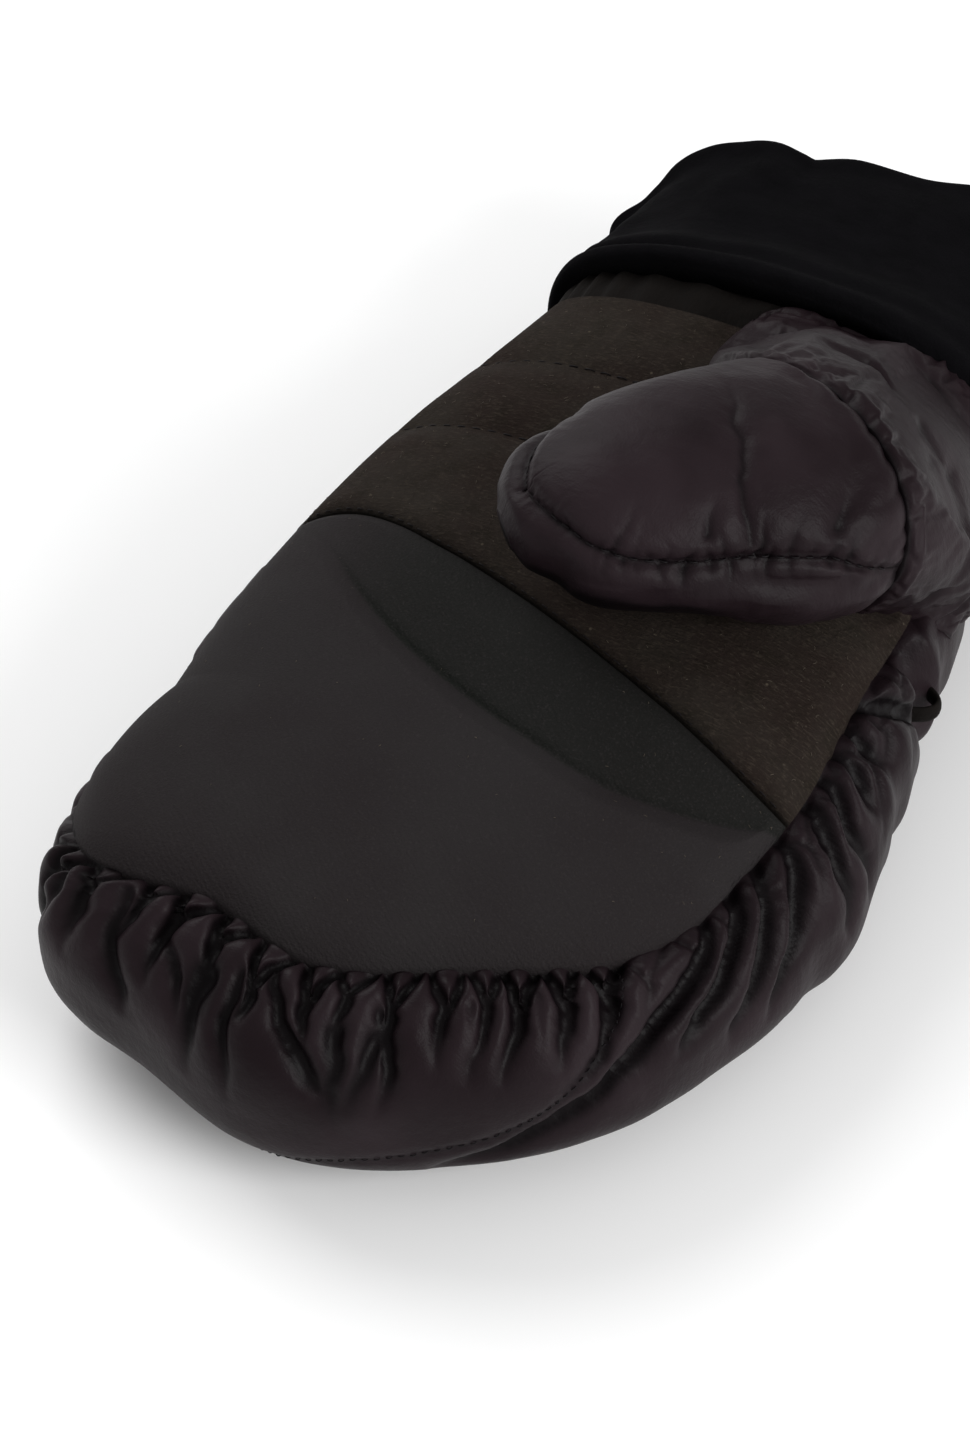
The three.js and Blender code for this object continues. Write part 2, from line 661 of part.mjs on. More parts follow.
function thumbMiddle(along) {
  const at = (name) => column(THUMB_SECTIONS, along, "along", name);
  return new THREE.Vector3(THUMB_ROOT_ASIDE, THUMB_ROOT_FORWARD, THUMB_RISE * at("rise"))
    .addScaledVector(thumbHeading, THUMB_REACH * along)
    .addScaledVector(thumbAside, THUMB_WIDTH * at("aside"));
}

function thumbFrame(along) {
  const middle = thumbMiddle(along);
  const step = 0.02;
  const ahead = thumbMiddle(Math.min(along + step, THUMB_SECTIONS.at(-1).along));
  const behind = thumbMiddle(Math.max(along - step, 0));
  const forward = ahead.sub(behind).normalize();
  const aside = new THREE.Vector3().crossVectors(forward, UP).normalize();
  const over = new THREE.Vector3().crossVectors(aside, forward).normalize();
  const wide = (THUMB_WIDTH / 2) * column(THUMB_SECTIONS, along, "along", "wide");
  const high = (THUMB_HEIGHT / 2) * column(THUMB_SECTIONS, along, "along", "high");
  return { middle, forward, aside, over, wide, high };
}

// A ring of the thumb from one turn to another, in degrees from its outer side over its top.
function thumbRing(along, inset, from, to, steps, detail) {
  const { middle, aside, over, wide, high } = thumbFrame(along);
  const ring = [];
  for (let i = 0; i <= steps; i++) {
    const degrees = mix(from, to, i / steps);
    const turn = (degrees * Math.PI) / 180;
    const seamNear = valley(((degrees + THUMB_SEAM_TURN + 540) % 360) - 180, 70);
    const pucker = Math.abs(Math.sin(Math.PI * THUMB_GATHERS * along));
    const pinch = valley(along - 0.5, THUMB_PINCH_WIDTH) * Math.max(Math.sin(turn), 0);
    const dent = detail
      ? THUMB_GATHER_DEPTH * seamNear * (2 - pucker) + THUMB_PINCH * pinch
      : 0;
    const shrink = inset + dent;
    const across = -Math.max(wide - shrink, 0.3) * Math.cos(turn);
    const up = Math.max(high - shrink, 0.3) * Math.sin(turn);
    const point = middle.clone().addScaledVector(aside, across).addScaledVector(over, up);
    ring.push(point.toArray());
  }
  return ring;
}

const THUMB_END = THUMB_SECTIONS.at(-1).along;
const crowdAtEnd = (t) => Math.sin((t * Math.PI) / 2);
const crowdAtStart = (t) => 1 - Math.cos((t * Math.PI) / 2);
function thumbStops(start, end, steps, crowd) {
  return Array.from({ length: steps + 1 }, (_, i) => mix(start, end, crowd(i / steps)));
}

const seamShare = THUMB_GAP / THUMB_REACH / 2;
const HEEL_STOPS = thumbStops(0, THUMB_BASE_SEAM - seamShare, HEEL_STEPS, crowdAtStart);
const PANEL_STOPS = thumbStops(THUMB_BASE_SEAM + seamShare, THUMB_END, THUMB_STEPS, crowdAtEnd);

// A closed body that fills the whole thumb, grown all round by a clearance
function thumbFilled(clearance) {
  const stops = [...HEEL_STOPS, ...PANEL_STOPS];
  const rings = stops.map((along) => thumbRing(along, -clearance, 0, 360, THUMB_SIDES, false));
  const cap = (ring, along, push) => {
    const { middle, forward } = thumbFrame(along);
    const point = middle.clone().addScaledVector(forward, push).toArray();
    return ring.map(() => point);
  };
  rings.unshift(cap(rings[0], 0, 0));
  rings.push(cap(rings.at(-1), THUMB_END, clearance));
  const triangles = [];
  addGrid(triangles, rings, true);
  return solidFrom(triangles);
}

function thumbPanel(from, to) {
  const steps = Math.round((THUMB_SIDES * (to - from)) / 360);
  const innerEnd = THUMB_END - THUMB_WALL / THUMB_REACH;
  const innerStops = thumbStops(PANEL_STOPS[0], innerEnd, THUMB_STEPS, crowdAtEnd);
  const gap = (THUMB_GAP / THUMB_WIDTH) * (180 / Math.PI);
  const ends = [from + gap, to - gap];
  const outer = PANEL_STOPS.map((along) => thumbRing(along, 0, ...ends, steps, true));
  const inner = innerStops.map((along) => thumbRing(along, THUMB_WALL, ...ends, steps, false));
  return wallSolid(outer, inner, 2);
}

const material = (color, roughness) =>
  new THREE.MeshStandardMaterial({ color, roughness, metalness: 0 });
const FINISH = {
  nylon: material(0x262227, 0.42),
  felt: material(0x1c1815, 0.95),
  softshell: material(0x2a2a2d, 0.85),
  knit: material(0x0c0c0f, 0.92),
};

const part = new THREE.Group();
const hand = new THREE.Group();
part.add(hand);

function addMesh(name, geometry, finish) {
  const mesh = new THREE.Mesh(geometry, finish);
  mesh.name = name;
  hand.add(mesh);
}

const handInside = toSolid(makeHandInside(1));
const thumbBody = toSolid(thumbFilled(THUMB_GAP));
const cutForThumb = (geometry) => toGeometry(toSolid(geometry).subtract(thumbBody));
const outsideHand = (geometry) => toGeometry(toSolid(geometry).subtract(handInside));

addMesh("back_shell", cutForThumb(makeBackShell()), FINISH.nylon);
addMesh("palm_panel", cutForThumb(makePalmPanel()), FINISH.felt);
addMesh("finger_panel", cutForThumb(makeFingerPanel()), FINISH.softshell);
addMesh("thumb_top", outsideHand(thumbPanel(-THUMB_SEAM_TURN, 180 + THUMB_SEAM_TURN)), FINISH.nylon);
addMesh("thumb_under", outsideHand(thumbPanel(180 + THUMB_SEAM_TURN, 360 - THUMB_SEAM_TURN)), FINISH.nylon);

// The base of the thumb, between the thumb's base seam, the palm and the cuff
function makeThumbHeel() {
  const rings = (inset) =>
    HEEL_STOPS.map((along) => thumbRing(along, inset, 0, 360, THUMB_SIDES, false));
  const outer = rings(0);
  const inner = rings(THUMB_WALL);
  return wallSolid(outer, inner, 0);
}
const heel = toSolid(makeThumbHeel()).subtract(handInside).trimByPlane([0, -1, 0], -HAND_LENGTH);
addMesh("thumb_heel", toGeometry(heel), FINISH.nylon);

// Points of the wrist's own outline, moved outwards by a margin on each side.
function wristRing(y, margins, ripple = 0) {
  const ring = [];
  const middle = (leftEdge(HAND_LENGTH) + rightEdge(HAND_LENGTH)) / 2;
  const half = (rightEdge(HAND_LENGTH) - leftEdge(HAND_LENGTH)) / 2;
  for (let i = 0; i <= WRIST_SIDES; i++) {
    const turn = (2 * Math.PI * (i % WRIST_SIDES)) / WRIST_SIDES;
    const top = Math.sin(turn) > 0;
    const power = 2 / (top ? TOP_POWER : BOTTOM_POWER);
    const across = Math.sign(Math.cos(turn)) * Math.abs(Math.cos(turn)) ** power;
    const up = Math.abs(Math.sin(turn)) ** power;
    const wide = half + (across < 0 ? margins.left : margins.right) + ripple * Math.cos(i * Math.PI);
    const high = top ? crownHeight(HAND_LENGTH) - EQUATOR_HEIGHT + margins.top : EQUATOR_HEIGHT + margins.under;
    const forward = typeof y === "function" ? y(turn) : y;
    ring.push([middle + across * wide, forward, EQUATOR_HEIGHT + (top ? 1 : -1) * up * high]);
  }
  return ring;
}

function makeCuff() {
  const start = HAND_LENGTH + CUFF_SETBACK;
  const ring = (at, inset) => {
    const margin = (name) => CUFF_WALL * column(CUFF_SECTIONS, at, "at", name) - inset;
    const wave = CUFF_WAVE * at * at;
    const slant = CUFF_SLANT * at;
    const y = (turn) => start + CUFF_LENGTH * at + slant * Math.cos(turn) + wave * Math.sin(3 * turn + 1);
    return wristRing(y, {
      left: margin("left"),
      right: margin("right"),
      top: margin("top"),
      under: -inset,
    });
  };
  const stops = (steps) => Array.from({ length: steps + 1 }, (_, i) => i / steps);
  const outer = [0, 0.06, 0.16, ...stops(CUFF_STEPS - 2).slice(2)].map((at) => ring(at, 0));
  const inner = stops(CUFF_INNER_STEPS).map((at) => ring(at, CUFF_WALL));
  return wallSolid(outer, inner, 0, false);
}
addMesh("cuff", makeCuff(), FINISH.knit);

function makeWristBand() {
  const ring = (y, inset, ripple) =>
    wristRing(y, { left: -inset, right: -inset, top: -inset, under: -inset }, ripple);
  const start = HAND_LENGTH + SEAM_GAP;
  const ys = [start, start + BAND_LENGTH / 2, start + BAND_LENGTH];
  const outer = ys.map((y) => ring(y, BAND_INSET, BAND_GATHER_DEPTH));
  const inner = ys.map((y) => ring(y, BAND_INSET + BAND_WALL, 0));
  return wallSolid(outer, inner, 0, false);
}
addMesh("wrist_band", makeWristBand(), FINISH.felt);

// The small loop in the side seam on the thumb side
function makeSideLoop() {
  const rings = [];
  const steps = 8;
  for (let i = 0; i <= steps; i++) {
    const turn = mix(-0.5, 0.5, i / steps) * Math.PI;
    const ring = [];
    for (let k = 0; k <= 8; k++) {
      const round = (2 * Math.PI * (k % 8)) / 8;
      const thick = (LOOP_THICK / 2) * Math.cos(round);
      ring.push([
        rightEdge(LOOP_FORWARD) - LOOP_BURIED + (LOOP_STANDS_OUT + LOOP_BURIED + thick) * Math.cos(turn),
        LOOP_FORWARD + (LOOP_LENGTH / 2 + thick) * Math.sin(turn),
        LOOP_HEIGHT + (LOOP_WIDTH / 2) * Math.sin(round),
      ]);
    }
    rings.push(ring);
  }
  const middle = (ring) => {
    const point = [0, 1, 2].map((n) => (ring[0][n] + ring[4][n]) / 2);
    return ring.map(() => point);
  };
  rings.unshift(middle(rings[0]));
  rings.push(middle(rings.at(-1)));
  const triangles = [];
  addGrid(triangles, rings, false);
  return toSolid(solidFrom(triangles));
}
const shellSolid = toSolid(makeBackShell());
const loop = makeSideLoop().subtract(shellSolid).subtract(shellSolid.translate([LOOP_GAP, 0, 0]));
addMesh("side_tab", toGeometry(loop), FINISH.felt);

const box = new THREE.Box3().setFromObject(hand);
const centre = box.getCenter(new THREE.Vector3());
hand.position.set(-centre.x, -centre.y, -box.min.z);

export default part;
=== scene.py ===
# %% [markdown]
# # A padded mitten, lying palm up
# The mitten is sewn from a few panels: a puffy nylon back that wraps round the fingertips, a matte
# softshell panel under the fingers, a quilted felt palm, a nylon thumb and a brushed cuff.
# The solid model gives each panel's size and place. Here each panel gets its fabric: gathers, stitches,
# folds and lint. We start by loading the solid model, whose boxes later place the hand's own axes.

# %% Load the solid model
import math

import bmesh
import bpy
import numpy as np
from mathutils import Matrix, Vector


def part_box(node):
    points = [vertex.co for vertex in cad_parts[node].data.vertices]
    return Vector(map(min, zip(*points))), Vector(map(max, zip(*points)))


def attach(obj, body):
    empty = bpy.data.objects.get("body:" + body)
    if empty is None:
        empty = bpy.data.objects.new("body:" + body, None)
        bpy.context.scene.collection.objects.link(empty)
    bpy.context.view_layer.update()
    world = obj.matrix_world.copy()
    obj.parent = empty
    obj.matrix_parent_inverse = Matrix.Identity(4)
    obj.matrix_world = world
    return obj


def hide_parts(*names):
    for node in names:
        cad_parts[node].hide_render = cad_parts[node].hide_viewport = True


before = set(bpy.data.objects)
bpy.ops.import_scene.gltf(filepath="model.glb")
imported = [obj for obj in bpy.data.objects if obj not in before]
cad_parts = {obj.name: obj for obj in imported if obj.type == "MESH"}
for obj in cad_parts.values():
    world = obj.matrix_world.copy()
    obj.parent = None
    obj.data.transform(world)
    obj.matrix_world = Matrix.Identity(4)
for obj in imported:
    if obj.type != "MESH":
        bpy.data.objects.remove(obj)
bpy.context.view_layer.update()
print("nodes:", sorted(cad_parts))

# %% [markdown]
# ## Sizes
# A pattern cutter works from a few measures of the hand. We repeat the measures that shape the solids,
# in millimetres, in the hand's own axes: x from the middle of the fingers towards the thumb, y from the
# fingertips to the cuff, z up from the table. The wrist band's box says where those axes lie in the
# solid model, so nothing has to be fitted by eye.

# %% Measures of the hand
HAND_LENGTH, HAND_WIDTH, HAND_THICKNESS = 188.0, 137.0, 56.0
EQUATOR = 25.0  # height of the widest outline over the table
TIP_CENTRE = np.array([-6.0, 62.0])  # centre of the fingertips' round
TOP_POWER, BOTTOM_POWER = 2.6, 3.0  # how full the section is over and under the outline
SEAM_INSET, SEAM_DIP, PALM_WALL, SHELL_WALL = 14.0, 2.2, 6.0, 9.0
REST_FLAT = 1.8  # how much the table flattens the back

# at, left, right (shares of the width), crown (share of the thickness)
HAND_SECTIONS = np.array([
    [0.33, 0.497, 0.452, 0.98], [0.45, 0.502, 0.478, 1.0], [0.56, 0.494, 0.478, 1.0],
    [0.675, 0.478, 0.45, 0.99], [0.77, 0.456, 0.43, 0.97], [0.88, 0.42, 0.405, 0.94],
    [1.0, 0.384, 0.38, 0.9],
])
# turn round the fingertips, reach as a share of the width
TIP_OUTLINE = np.array([
    [0, 0.46], [0.155, 0.53], [0.255, 0.58], [0.365, 0.53], [0.49, 0.53], [0.655, 0.492],
    [0.845, 0.486], [1, 0.495],
])
# along the seam, how far it lies inside the outline, how strongly it is gathered, how much folds lean
SEAM_TABLE = np.array([
    [0, 0.18, 0, 0], [0.2, 0.18, 0.05, 0], [0.3, 0.15, 0.2, 0], [0.34, 0.2, 0.5, 0.1],
    [0.368, 0.55, 0.95, 0.2], [0.42, 1.3, 1, 0.3], [0.52, 1.4, 1, 0], [0.6, 1.3, 1, -0.5],
    [0.68, 0.85, 1, -1], [0.77, 0.76, 1, -1.1], [0.83, 0.84, 0.9, -1.2], [0.865, 0.62, 0.8, -1.2],
    [0.9, 0.5, 0.5, -1.2], [1, 0.6, 0, -1.2],
])

# %% [markdown]
# ## Curves through a table
# The outline is a table of a few measured places. A smooth curve runs through its rows, as a cutter's
# flexible ruler would. Written for whole arrays at once, it stays fast with thousands of points.


# %% A smooth curve through a table's column
def curve(table, place, column):
    keys, values = table[:, 0], table[:, column]
    place = np.asarray(place, float)
    last = len(keys) - 1
    i = np.clip(np.searchsorted(keys, place) - 1, 0, last - 1)
    before, after = np.maximum(i - 1, 0), np.minimum(i + 2, last)
    span = keys[i + 1] - keys[i]
    t = np.clip((place - keys[i]) / span, 0, 1)
    slope_a = (values[i + 1] - values[before]) / (keys[i + 1] - keys[before]) * span
    slope_b = (values[after] - values[i]) / (keys[after] - keys[i]) * span
    t2, t3 = t**2, t**3
    return (
        (2 * t3 - 3 * t2 + 1) * values[i]
        + (t3 - 2 * t2 + t) * slope_a
        + (3 * t2 - 2 * t3) * values[i + 1]
        + (t3 - t2) * slope_b
    )


def smooth(t):
    t = np.clip(t, 0, 1)
    return t * t * (3 - 2 * t)


def mix(a, b, t):
    return a + (b - a) * t


def valley(distance, width):
    """1 on a line, falling softly to 0 at half the width from it."""
    return (1 - np.clip(np.abs(distance) / (width / 2), 0, 1) ** 2) ** 2


def run_along(line):
    """How far each point of a line lies from its start, measured along it."""
    return np.concatenate([[0], np.cumsum(np.linalg.norm(np.diff(line, axis=0), axis=1))])


# %% The hand's outline and crown
def left_edge(y):
    return -HAND_WIDTH * curve(HAND_SECTIONS, y / HAND_LENGTH, 1)


def right_edge(y):
    return HAND_WIDTH * curve(HAND_SECTIONS, y / HAND_LENGTH, 2)


def crown(y):
    return HAND_THICKNESS * curve(HAND_SECTIONS, np.maximum(y, TIP_CENTRE[1]) / HAND_LENGTH, 3)


def spine(y):
    settle = smooth((y - TIP_CENTRE[1]) / TIP_CENTRE[1])
    return mix(TIP_CENTRE[0], (left_edge(y) + right_edge(y)) / 2, settle)


def side_reach(y, side):
    return np.where(side < 0, spine(y) - left_edge(y), right_edge(y) - spine(y))


def tip_reach(turn):
    ends = [HAND_WIDTH * curve(TIP_OUTLINE, end, 1) for end in (0.0, 1.0)]
    fit = [side_reach(TIP_CENTRE[1], side) / end for side, end in zip((-1, 1), ends)]
    return HAND_WIDTH * curve(TIP_OUTLINE, turn, 1) * mix(fit[0], fit[1], turn)


def palm_height(x, y):
    """Height of the palm side over the table, before seams and folds."""
    dx, dy = x - TIP_CENTRE[0], y - TIP_CENTRE[1]
    behind = np.maximum(y, TIP_CENTRE[1])
    across = x - spine(behind)
    turn = np.clip(1 - np.arctan2(np.maximum(-dy, 0), dx) / np.pi, 0, 1)
    q = np.where(
        dy >= 0, np.abs(across) / side_reach(behind, across), np.hypot(dx, dy) / tip_reach(turn)
    )
    fall = np.maximum(1 - np.clip(q, 0, 1) ** TOP_POWER, 0) ** (1 / TOP_POWER)
    return EQUATOR + (crown(y) - EQUATOR) * fall


wrist_middle = float(left_edge(HAND_LENGTH) + right_edge(HAND_LENGTH)) / 2
band_low, band_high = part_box("wrist_band")
palm_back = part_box("palm_panel")[1][1]
ORIGIN = np.array([
    (band_low[0] + band_high[0]) * 500 - wrist_middle, palm_back * 1000 - HAND_LENGTH, 0,
])
print("hand's own axes start at", ORIGIN.round(2), "mm in the solid model")

# %% [markdown]
# ## From points to pieces
# Every panel starts as a grid of points. A sewn panel has thickness, so its outer grid is joined to a
# coarser inner one along the edges: that makes one closed skin, with no open rim that would show as a
# black line. A ribbon of triangles joins two edges with different numbers of points.


# %% Grids, ribbons and closed panels
def grid_faces(index, flip=False):
    a, b, c, d = index[:-1, :-1], index[1:, :-1], index[1:, 1:], index[:-1, 1:]
    order = (a, d, c, b) if flip else (a, b, c, d)
    return np.stack([part.ravel() for part in order], 1).tolist()


def ribbon(first, second, flip=False):
    faces, i, j = [], 0, 0
    while i + 1 < len(first) or j + 1 < len(second):
        step_first = j + 1 >= len(second) or (
            i + 1 < len(first) and (i + 1) / (len(first) - 1) <= (j + 1) / (len(second) - 1)
        )
        third = first[i + 1] if step_first else second[j + 1]
        face = [first[i], second[j], third] if not flip else [first[i], third, second[j]]
        faces.append([int(v) for v in face])
        i, j = (i + 1, j) if step_first else (i, j + 1)
    return faces


def closed_panel(outer, inner, flip=False, edges=2):
    """Points and faces of a panel between an outer and an inner grid; edges says how many sides close."""
    n, m = outer.shape[:2]
    k, h = inner.shape[:2]
    top = np.arange(n * m).reshape(n, m)
    low = n * m + np.arange(k * h).reshape(k, h)
    faces = grid_faces(top, flip) + grid_faces(low, not flip)
    if edges > 0:
        faces += ribbon(top[:, 0], low[:, 0], flip)
    if edges > 1:
        faces += ribbon(top[:, -1], low[:, -1], not flip)
    faces += ribbon(top[0], low[0], not flip) + ribbon(top[-1], low[-1], flip)
    return np.concatenate([outer.reshape(-1, 3), inner.reshape(-1, 3)]), faces


def normals_of(grid, flip=False):
    along = np.gradient(grid, axis=0)
    across = np.gradient(grid, axis=1)
    normal = np.cross(along, across) * (-1 if flip else 1)
    return normal / np.maximum(np.linalg.norm(normal, axis=2, keepdims=True), 1e-9)


# %% [markdown]
# Points that lie on each other are welded, so that a panel that narrows to a point closes there. The
# piece then rides on the solid model, gets its finish and hides the solid it stands for.

# %% A piece of the model
WELD = 2e-6  # metres


def piece(name, points, faces, finish, slot_name, node=None, folds=None):
    """A mesh in the solid model's frame, riding on it; folds is each point's painted shade, most deep in
    a crease.
    """
    mesh = bpy.data.meshes.new(name)
    where = (np.asarray(points) + ORIGIN) / 1000
    mesh.from_pydata(where.tolist(), [], faces)
    # the painted shade is stored on the mesh, and the finish darkens its colour by it
    if folds is not None:
        values = np.zeros(len(points))
        values[: folds.size] = folds.ravel()
        mesh.attributes.new("painted_shade", "FLOAT", "POINT").data.foreach_set("value", values)
    welded = bmesh.new()
    welded.from_mesh(mesh)
    bmesh.ops.remove_doubles(welded, verts=welded.verts, dist=WELD)
    seen = {}
    for face in welded.faces:
        seen.setdefault(frozenset(face.verts), []).append(face)
    twice = [face for faces in seen.values() if len(faces) > 1 for face in faces]
    bmesh.ops.delete(welded, geom=twice, context="FACES_ONLY")
    bmesh.ops.recalc_face_normals(welded, faces=welded.faces)
    welded.to_mesh(mesh)
    welded.free()
    mesh.polygons.foreach_set("use_smooth", [True] * len(mesh.polygons))
    mesh.validate()
    mesh.update()
    made = bpy.data.objects.new(name, mesh)
    bpy.context.scene.collection.objects.link(made)
    made.data.materials.append(finish)
    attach(made, "root")
    if node:
        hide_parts(*([node] if isinstance(node, str) else node))
    print(f"{name}: {len(mesh.vertices)} points, {len(mesh.polygons)} faces")
    return made


# %% [markdown]
# ## Irregular by seed
# Cloth is never even. A lattice of random numbers, blended smoothly, gives a wobble of any size that is
# the same on each run, because its seed is fixed.


# %% A smooth random field
LATTICE = 64  # random numbers along each side of the field, which then repeats


def wobble(u, v, size, seed):
    """A smooth field between about -1 and 1, with features of the given size."""
    numbers = np.random.default_rng(seed).uniform(-1, 1, (LATTICE, LATTICE))
    u, v = np.asarray(u) / size + 17.3, np.asarray(v) / size + 5.1
    i, j = np.floor(u).astype(int), np.floor(v).astype(int)
    s, t = smooth(u - i), smooth(v - j)
    pick = lambda a, b: numbers[a % LATTICE, b % LATTICE]
    return mix(
        mix(pick(i, j), pick(i + 1, j), s), mix(pick(i, j + 1), pick(i + 1, j + 1), s), t
    )


def refine(grid):
    """Twice as many points each way, on a smooth surface through the old ones."""
    for axis in (0, 1):
        g = np.moveaxis(grid, axis, 0)
        before = np.concatenate([2 * g[:1] - g[1:2], g[:-2]])
        after = np.concatenate([g[2:], 2 * g[-1:] - g[-2:-1]])
        between = (9 * (g[:-1] + g[1:]) - before - after) / 16
        made = np.empty((2 * len(g) - 1, *g.shape[1:]))
        made[::2], made[1::2] = g, between
        grid = np.moveaxis(made, 0, axis)
    return grid

# %% [markdown]
# ## Shader sums as sentences
# A material is a graph of nodes. To keep it readable, an output of a node is wrapped in a small class, so
# that `0.4 + 0.1 * grain` adds its Math nodes by itself. Any other node comes from one method.


# %% A material whose nodes read like sums
class Wire:
    """One output of a node, ready for sums."""

    def __init__(self, surface, socket):
        self.surface, self.socket = surface, socket

    def maths(self, operation, *values):
        return self.surface.node("Math", {"operation": operation}, dict(enumerate(values)))

    def __add__(self, other):
        return self.maths("ADD", self, other)

    def __sub__(self, other):
        return self.maths("SUBTRACT", self, other)

    def __rsub__(self, other):
        return self.maths("SUBTRACT", other, self)

    def __mul__(self, other):
        return self.maths("MULTIPLY", self, other)

    def above(self, low, high):
        """0 below low, 1 over high, smooth between."""
        return self.surface.node(
            "MapRange", {"interpolation_type": "SMOOTHSTEP"}, {0: self, 1: low, 2: high}
        )

    __radd__, __rmul__ = __add__, __mul__


# %% A material under construction
class Surface:
    """A material under construction."""

    def __init__(self, name):
        self.material = bpy.data.materials.new(name)
        self.material.use_nodes = True
        self.tree = self.material.node_tree
        self.tree.nodes.clear()
        self.place = self.node("TexCoord", output="Object")

    def node(self, kind, settings=None, inputs=None, output=0):
        made = self.tree.nodes.new("ShaderNode" + kind)
        for name, value in (settings or {}).items():
            setattr(made, name, value)
        for name, value in (inputs or {}).items():
            if isinstance(value, Wire):
                self.tree.links.new(value.socket, made.inputs[name])
            else:
                made.inputs[name].default_value = value
        return Wire(self, made.outputs[output])

    def noise(self, per_metre, detail=2.0, stretch=(1, 1, 1), rough=0.5):
        """Smooth noise; stretch makes it longer along an axis."""
        where = self.node("VectorMath", {"operation": "MULTIPLY"}, {0: self.place, 1: stretch})
        return self.node(
            "TexNoise", None,
            {"Vector": where, "Scale": per_metre, "Detail": detail, "Roughness": rough},
        )

    def cells(self, per_metre):
        """Distance to the nearest of many scattered points: grains, pebbles, specks."""
        return self.node("TexVoronoi", {"feature": "F1"}, {"Vector": self.place, "Scale": per_metre})

    def painted_shade(self):
        """The painted shade that a mesh carries: 1 at the bottom of a sharp crease or seam, 0 on open
        cloth.
        """
        return self.node("Attribute", {"attribute_name": "painted_shade"}, output="Fac")

    def blend(self, factor, first, second):
        under = (*first, 1) if isinstance(first, tuple) else first
        return self.node(
            "Mix", {"data_type": "RGBA"}, {0: factor, 6: under, 7: (*second, 1)}, output=2
        )

    def bump(self, height, distance, strength=1.0, under=None):
        inputs = {"Height": height, "Distance": distance, "Strength": strength}
        return self.node("Bump", None, {**inputs, **({"Normal": under} if under else {})})

    def finish(self, colour, roughness, normal, **fixed):
        """Ends the material. What is fixed all over is set straight on the shader."""
        inputs = {"Base Color": colour, "Roughness": roughness, "Normal": normal}
        inputs.update({name.replace("_", " "): value for name, value in fixed.items()})
        shader = self.node("BsdfPrincipled", None, inputs)
        output = self.tree.nodes.new("ShaderNodeOutputMaterial")
        self.tree.links.new(shader.socket, output.inputs["Surface"])
        return self.material

# %% [markdown]
# ## The fabrics and the thread
# - The nylon is a thin, closely woven, slightly shiny lining cloth, black with a hint of purple. Small
#   creases break up its sheen. Each of its meshes carries a number for how deep a point lies in a sharp
#   crease or seam, or under the thumb's tip: little light gets there, so painted shade darkens its
#   colour.
# - The felt is a brown-black wool cloth. It has no gloss, a fuzzy surface, and it holds pale lint.
# - The softshell is a charcoal jersey with a fine pebbled face.
# - The cuff is a brushed fleece, the darkest of all: its pile swallows the light. The wrist band is a
#   dull, ribbed elastic. The threads and the lint are one twisted fibre in two colours.

# %% Nylon
def nylon_finish():
    s = Surface("shell_nylon")
    patches = s.noise(38, 3)
    creases = s.noise(330, 4, rough=0.6)
    lines = s.noise(150, 3, stretch=(1, 2.6, 0.7), rough=0.55)
    weave = s.noise(2600, 1)
    plain = s.blend(patches.above(0.35, 0.7), (0.0088, 0.0051, 0.0064), (0.0168, 0.0109, 0.0131))
    # painted shade: the colour goes to near black where the mesh's painted-shade number is high
    colour = s.blend(s.painted_shade().above(0.0, 1.0) * 0.85, plain, (0.0016, 0.0011, 0.0014))
    soft = s.bump(creases * 0.4 + lines * 0.6, 0.0008, 0.5)
    fine = s.bump(weave, 0.00008, 0.5, under=soft)
    return s.finish(colour, 0.34 + 0.18 * patches + 0.06 * weave, fine, Specular_IOR_Level=0.07)


# %% Felt
def felt_finish():
    s = Surface("palm_felt")
    patches = s.noise(45, 3)
    fuzz = s.noise(1500, 4, rough=0.7)
    hairs = s.noise(700, 3, stretch=(1, 3.5, 1), rough=0.65)
    specks = (1 - s.cells(330).above(0.06, 0.13)) * s.noise(210, 1).above(0.55, 0.66)
    mottle = s.noise(190, 3, rough=0.6)
    ground = s.blend(patches.above(0.3, 0.7), (0.0168, 0.0114, 0.0095), (0.0214, 0.0174, 0.0143))
    ground = s.blend(mottle.above(0.45, 0.75) * 0.5, ground, (0.0098, 0.0078, 0.0052))
    hairy = s.blend(hairs.above(0.48, 0.74) * 0.7, ground, (0.044, 0.035, 0.027))
    speckled = s.blend(specks * 0.6, hairy, (0.095, 0.078, 0.058))
    # painted shadow: the colour goes to near black at the bottom of the seam across the hand
    colour = s.blend(s.painted_shade() * 0.9, speckled, (0.0022, 0.0018, 0.0014))
    rough = s.bump(fuzz + hairs, 0.0006, 0.8)
    return s.finish(colour, 0.93 + 0.05 * fuzz, rough, Specular_IOR_Level=0.06)


# %% Softshell
def softshell_finish():
    s = Surface("finger_softshell")
    patches = s.noise(30, 2)
    grain = s.cells(2300)
    speckle = s.noise(2300, 3, rough=0.65)
    twill = s.node(
        "TexWave", {"bands_direction": "DIAGONAL"},
        {"Vector": s.place, "Scale": 330.0, "Distortion": 5.0, "Detail": 2.0}, output="Fac",
    )
    plain = s.blend(patches.above(0.3, 0.7), (0.0128, 0.0102, 0.0108), (0.0158, 0.0138, 0.0142))
    # painted shade: darker and greener on the slack strip, in its crease and in the seam across the hand
    colour = s.blend(s.painted_shade() * 0.7, plain, (0.0048, 0.0055, 0.0044))
    flecked = s.blend(speckle.above(0.5, 0.74) * 0.6, colour, (0.025, 0.022, 0.0225))
    pebbled = s.bump(grain * 0.6 + speckle * 0.8 + twill * 0.25, 0.00024, 0.7)
    return s.finish(flecked, 0.74 + 0.12 * speckle, pebbled, Specular_IOR_Level=0.08)


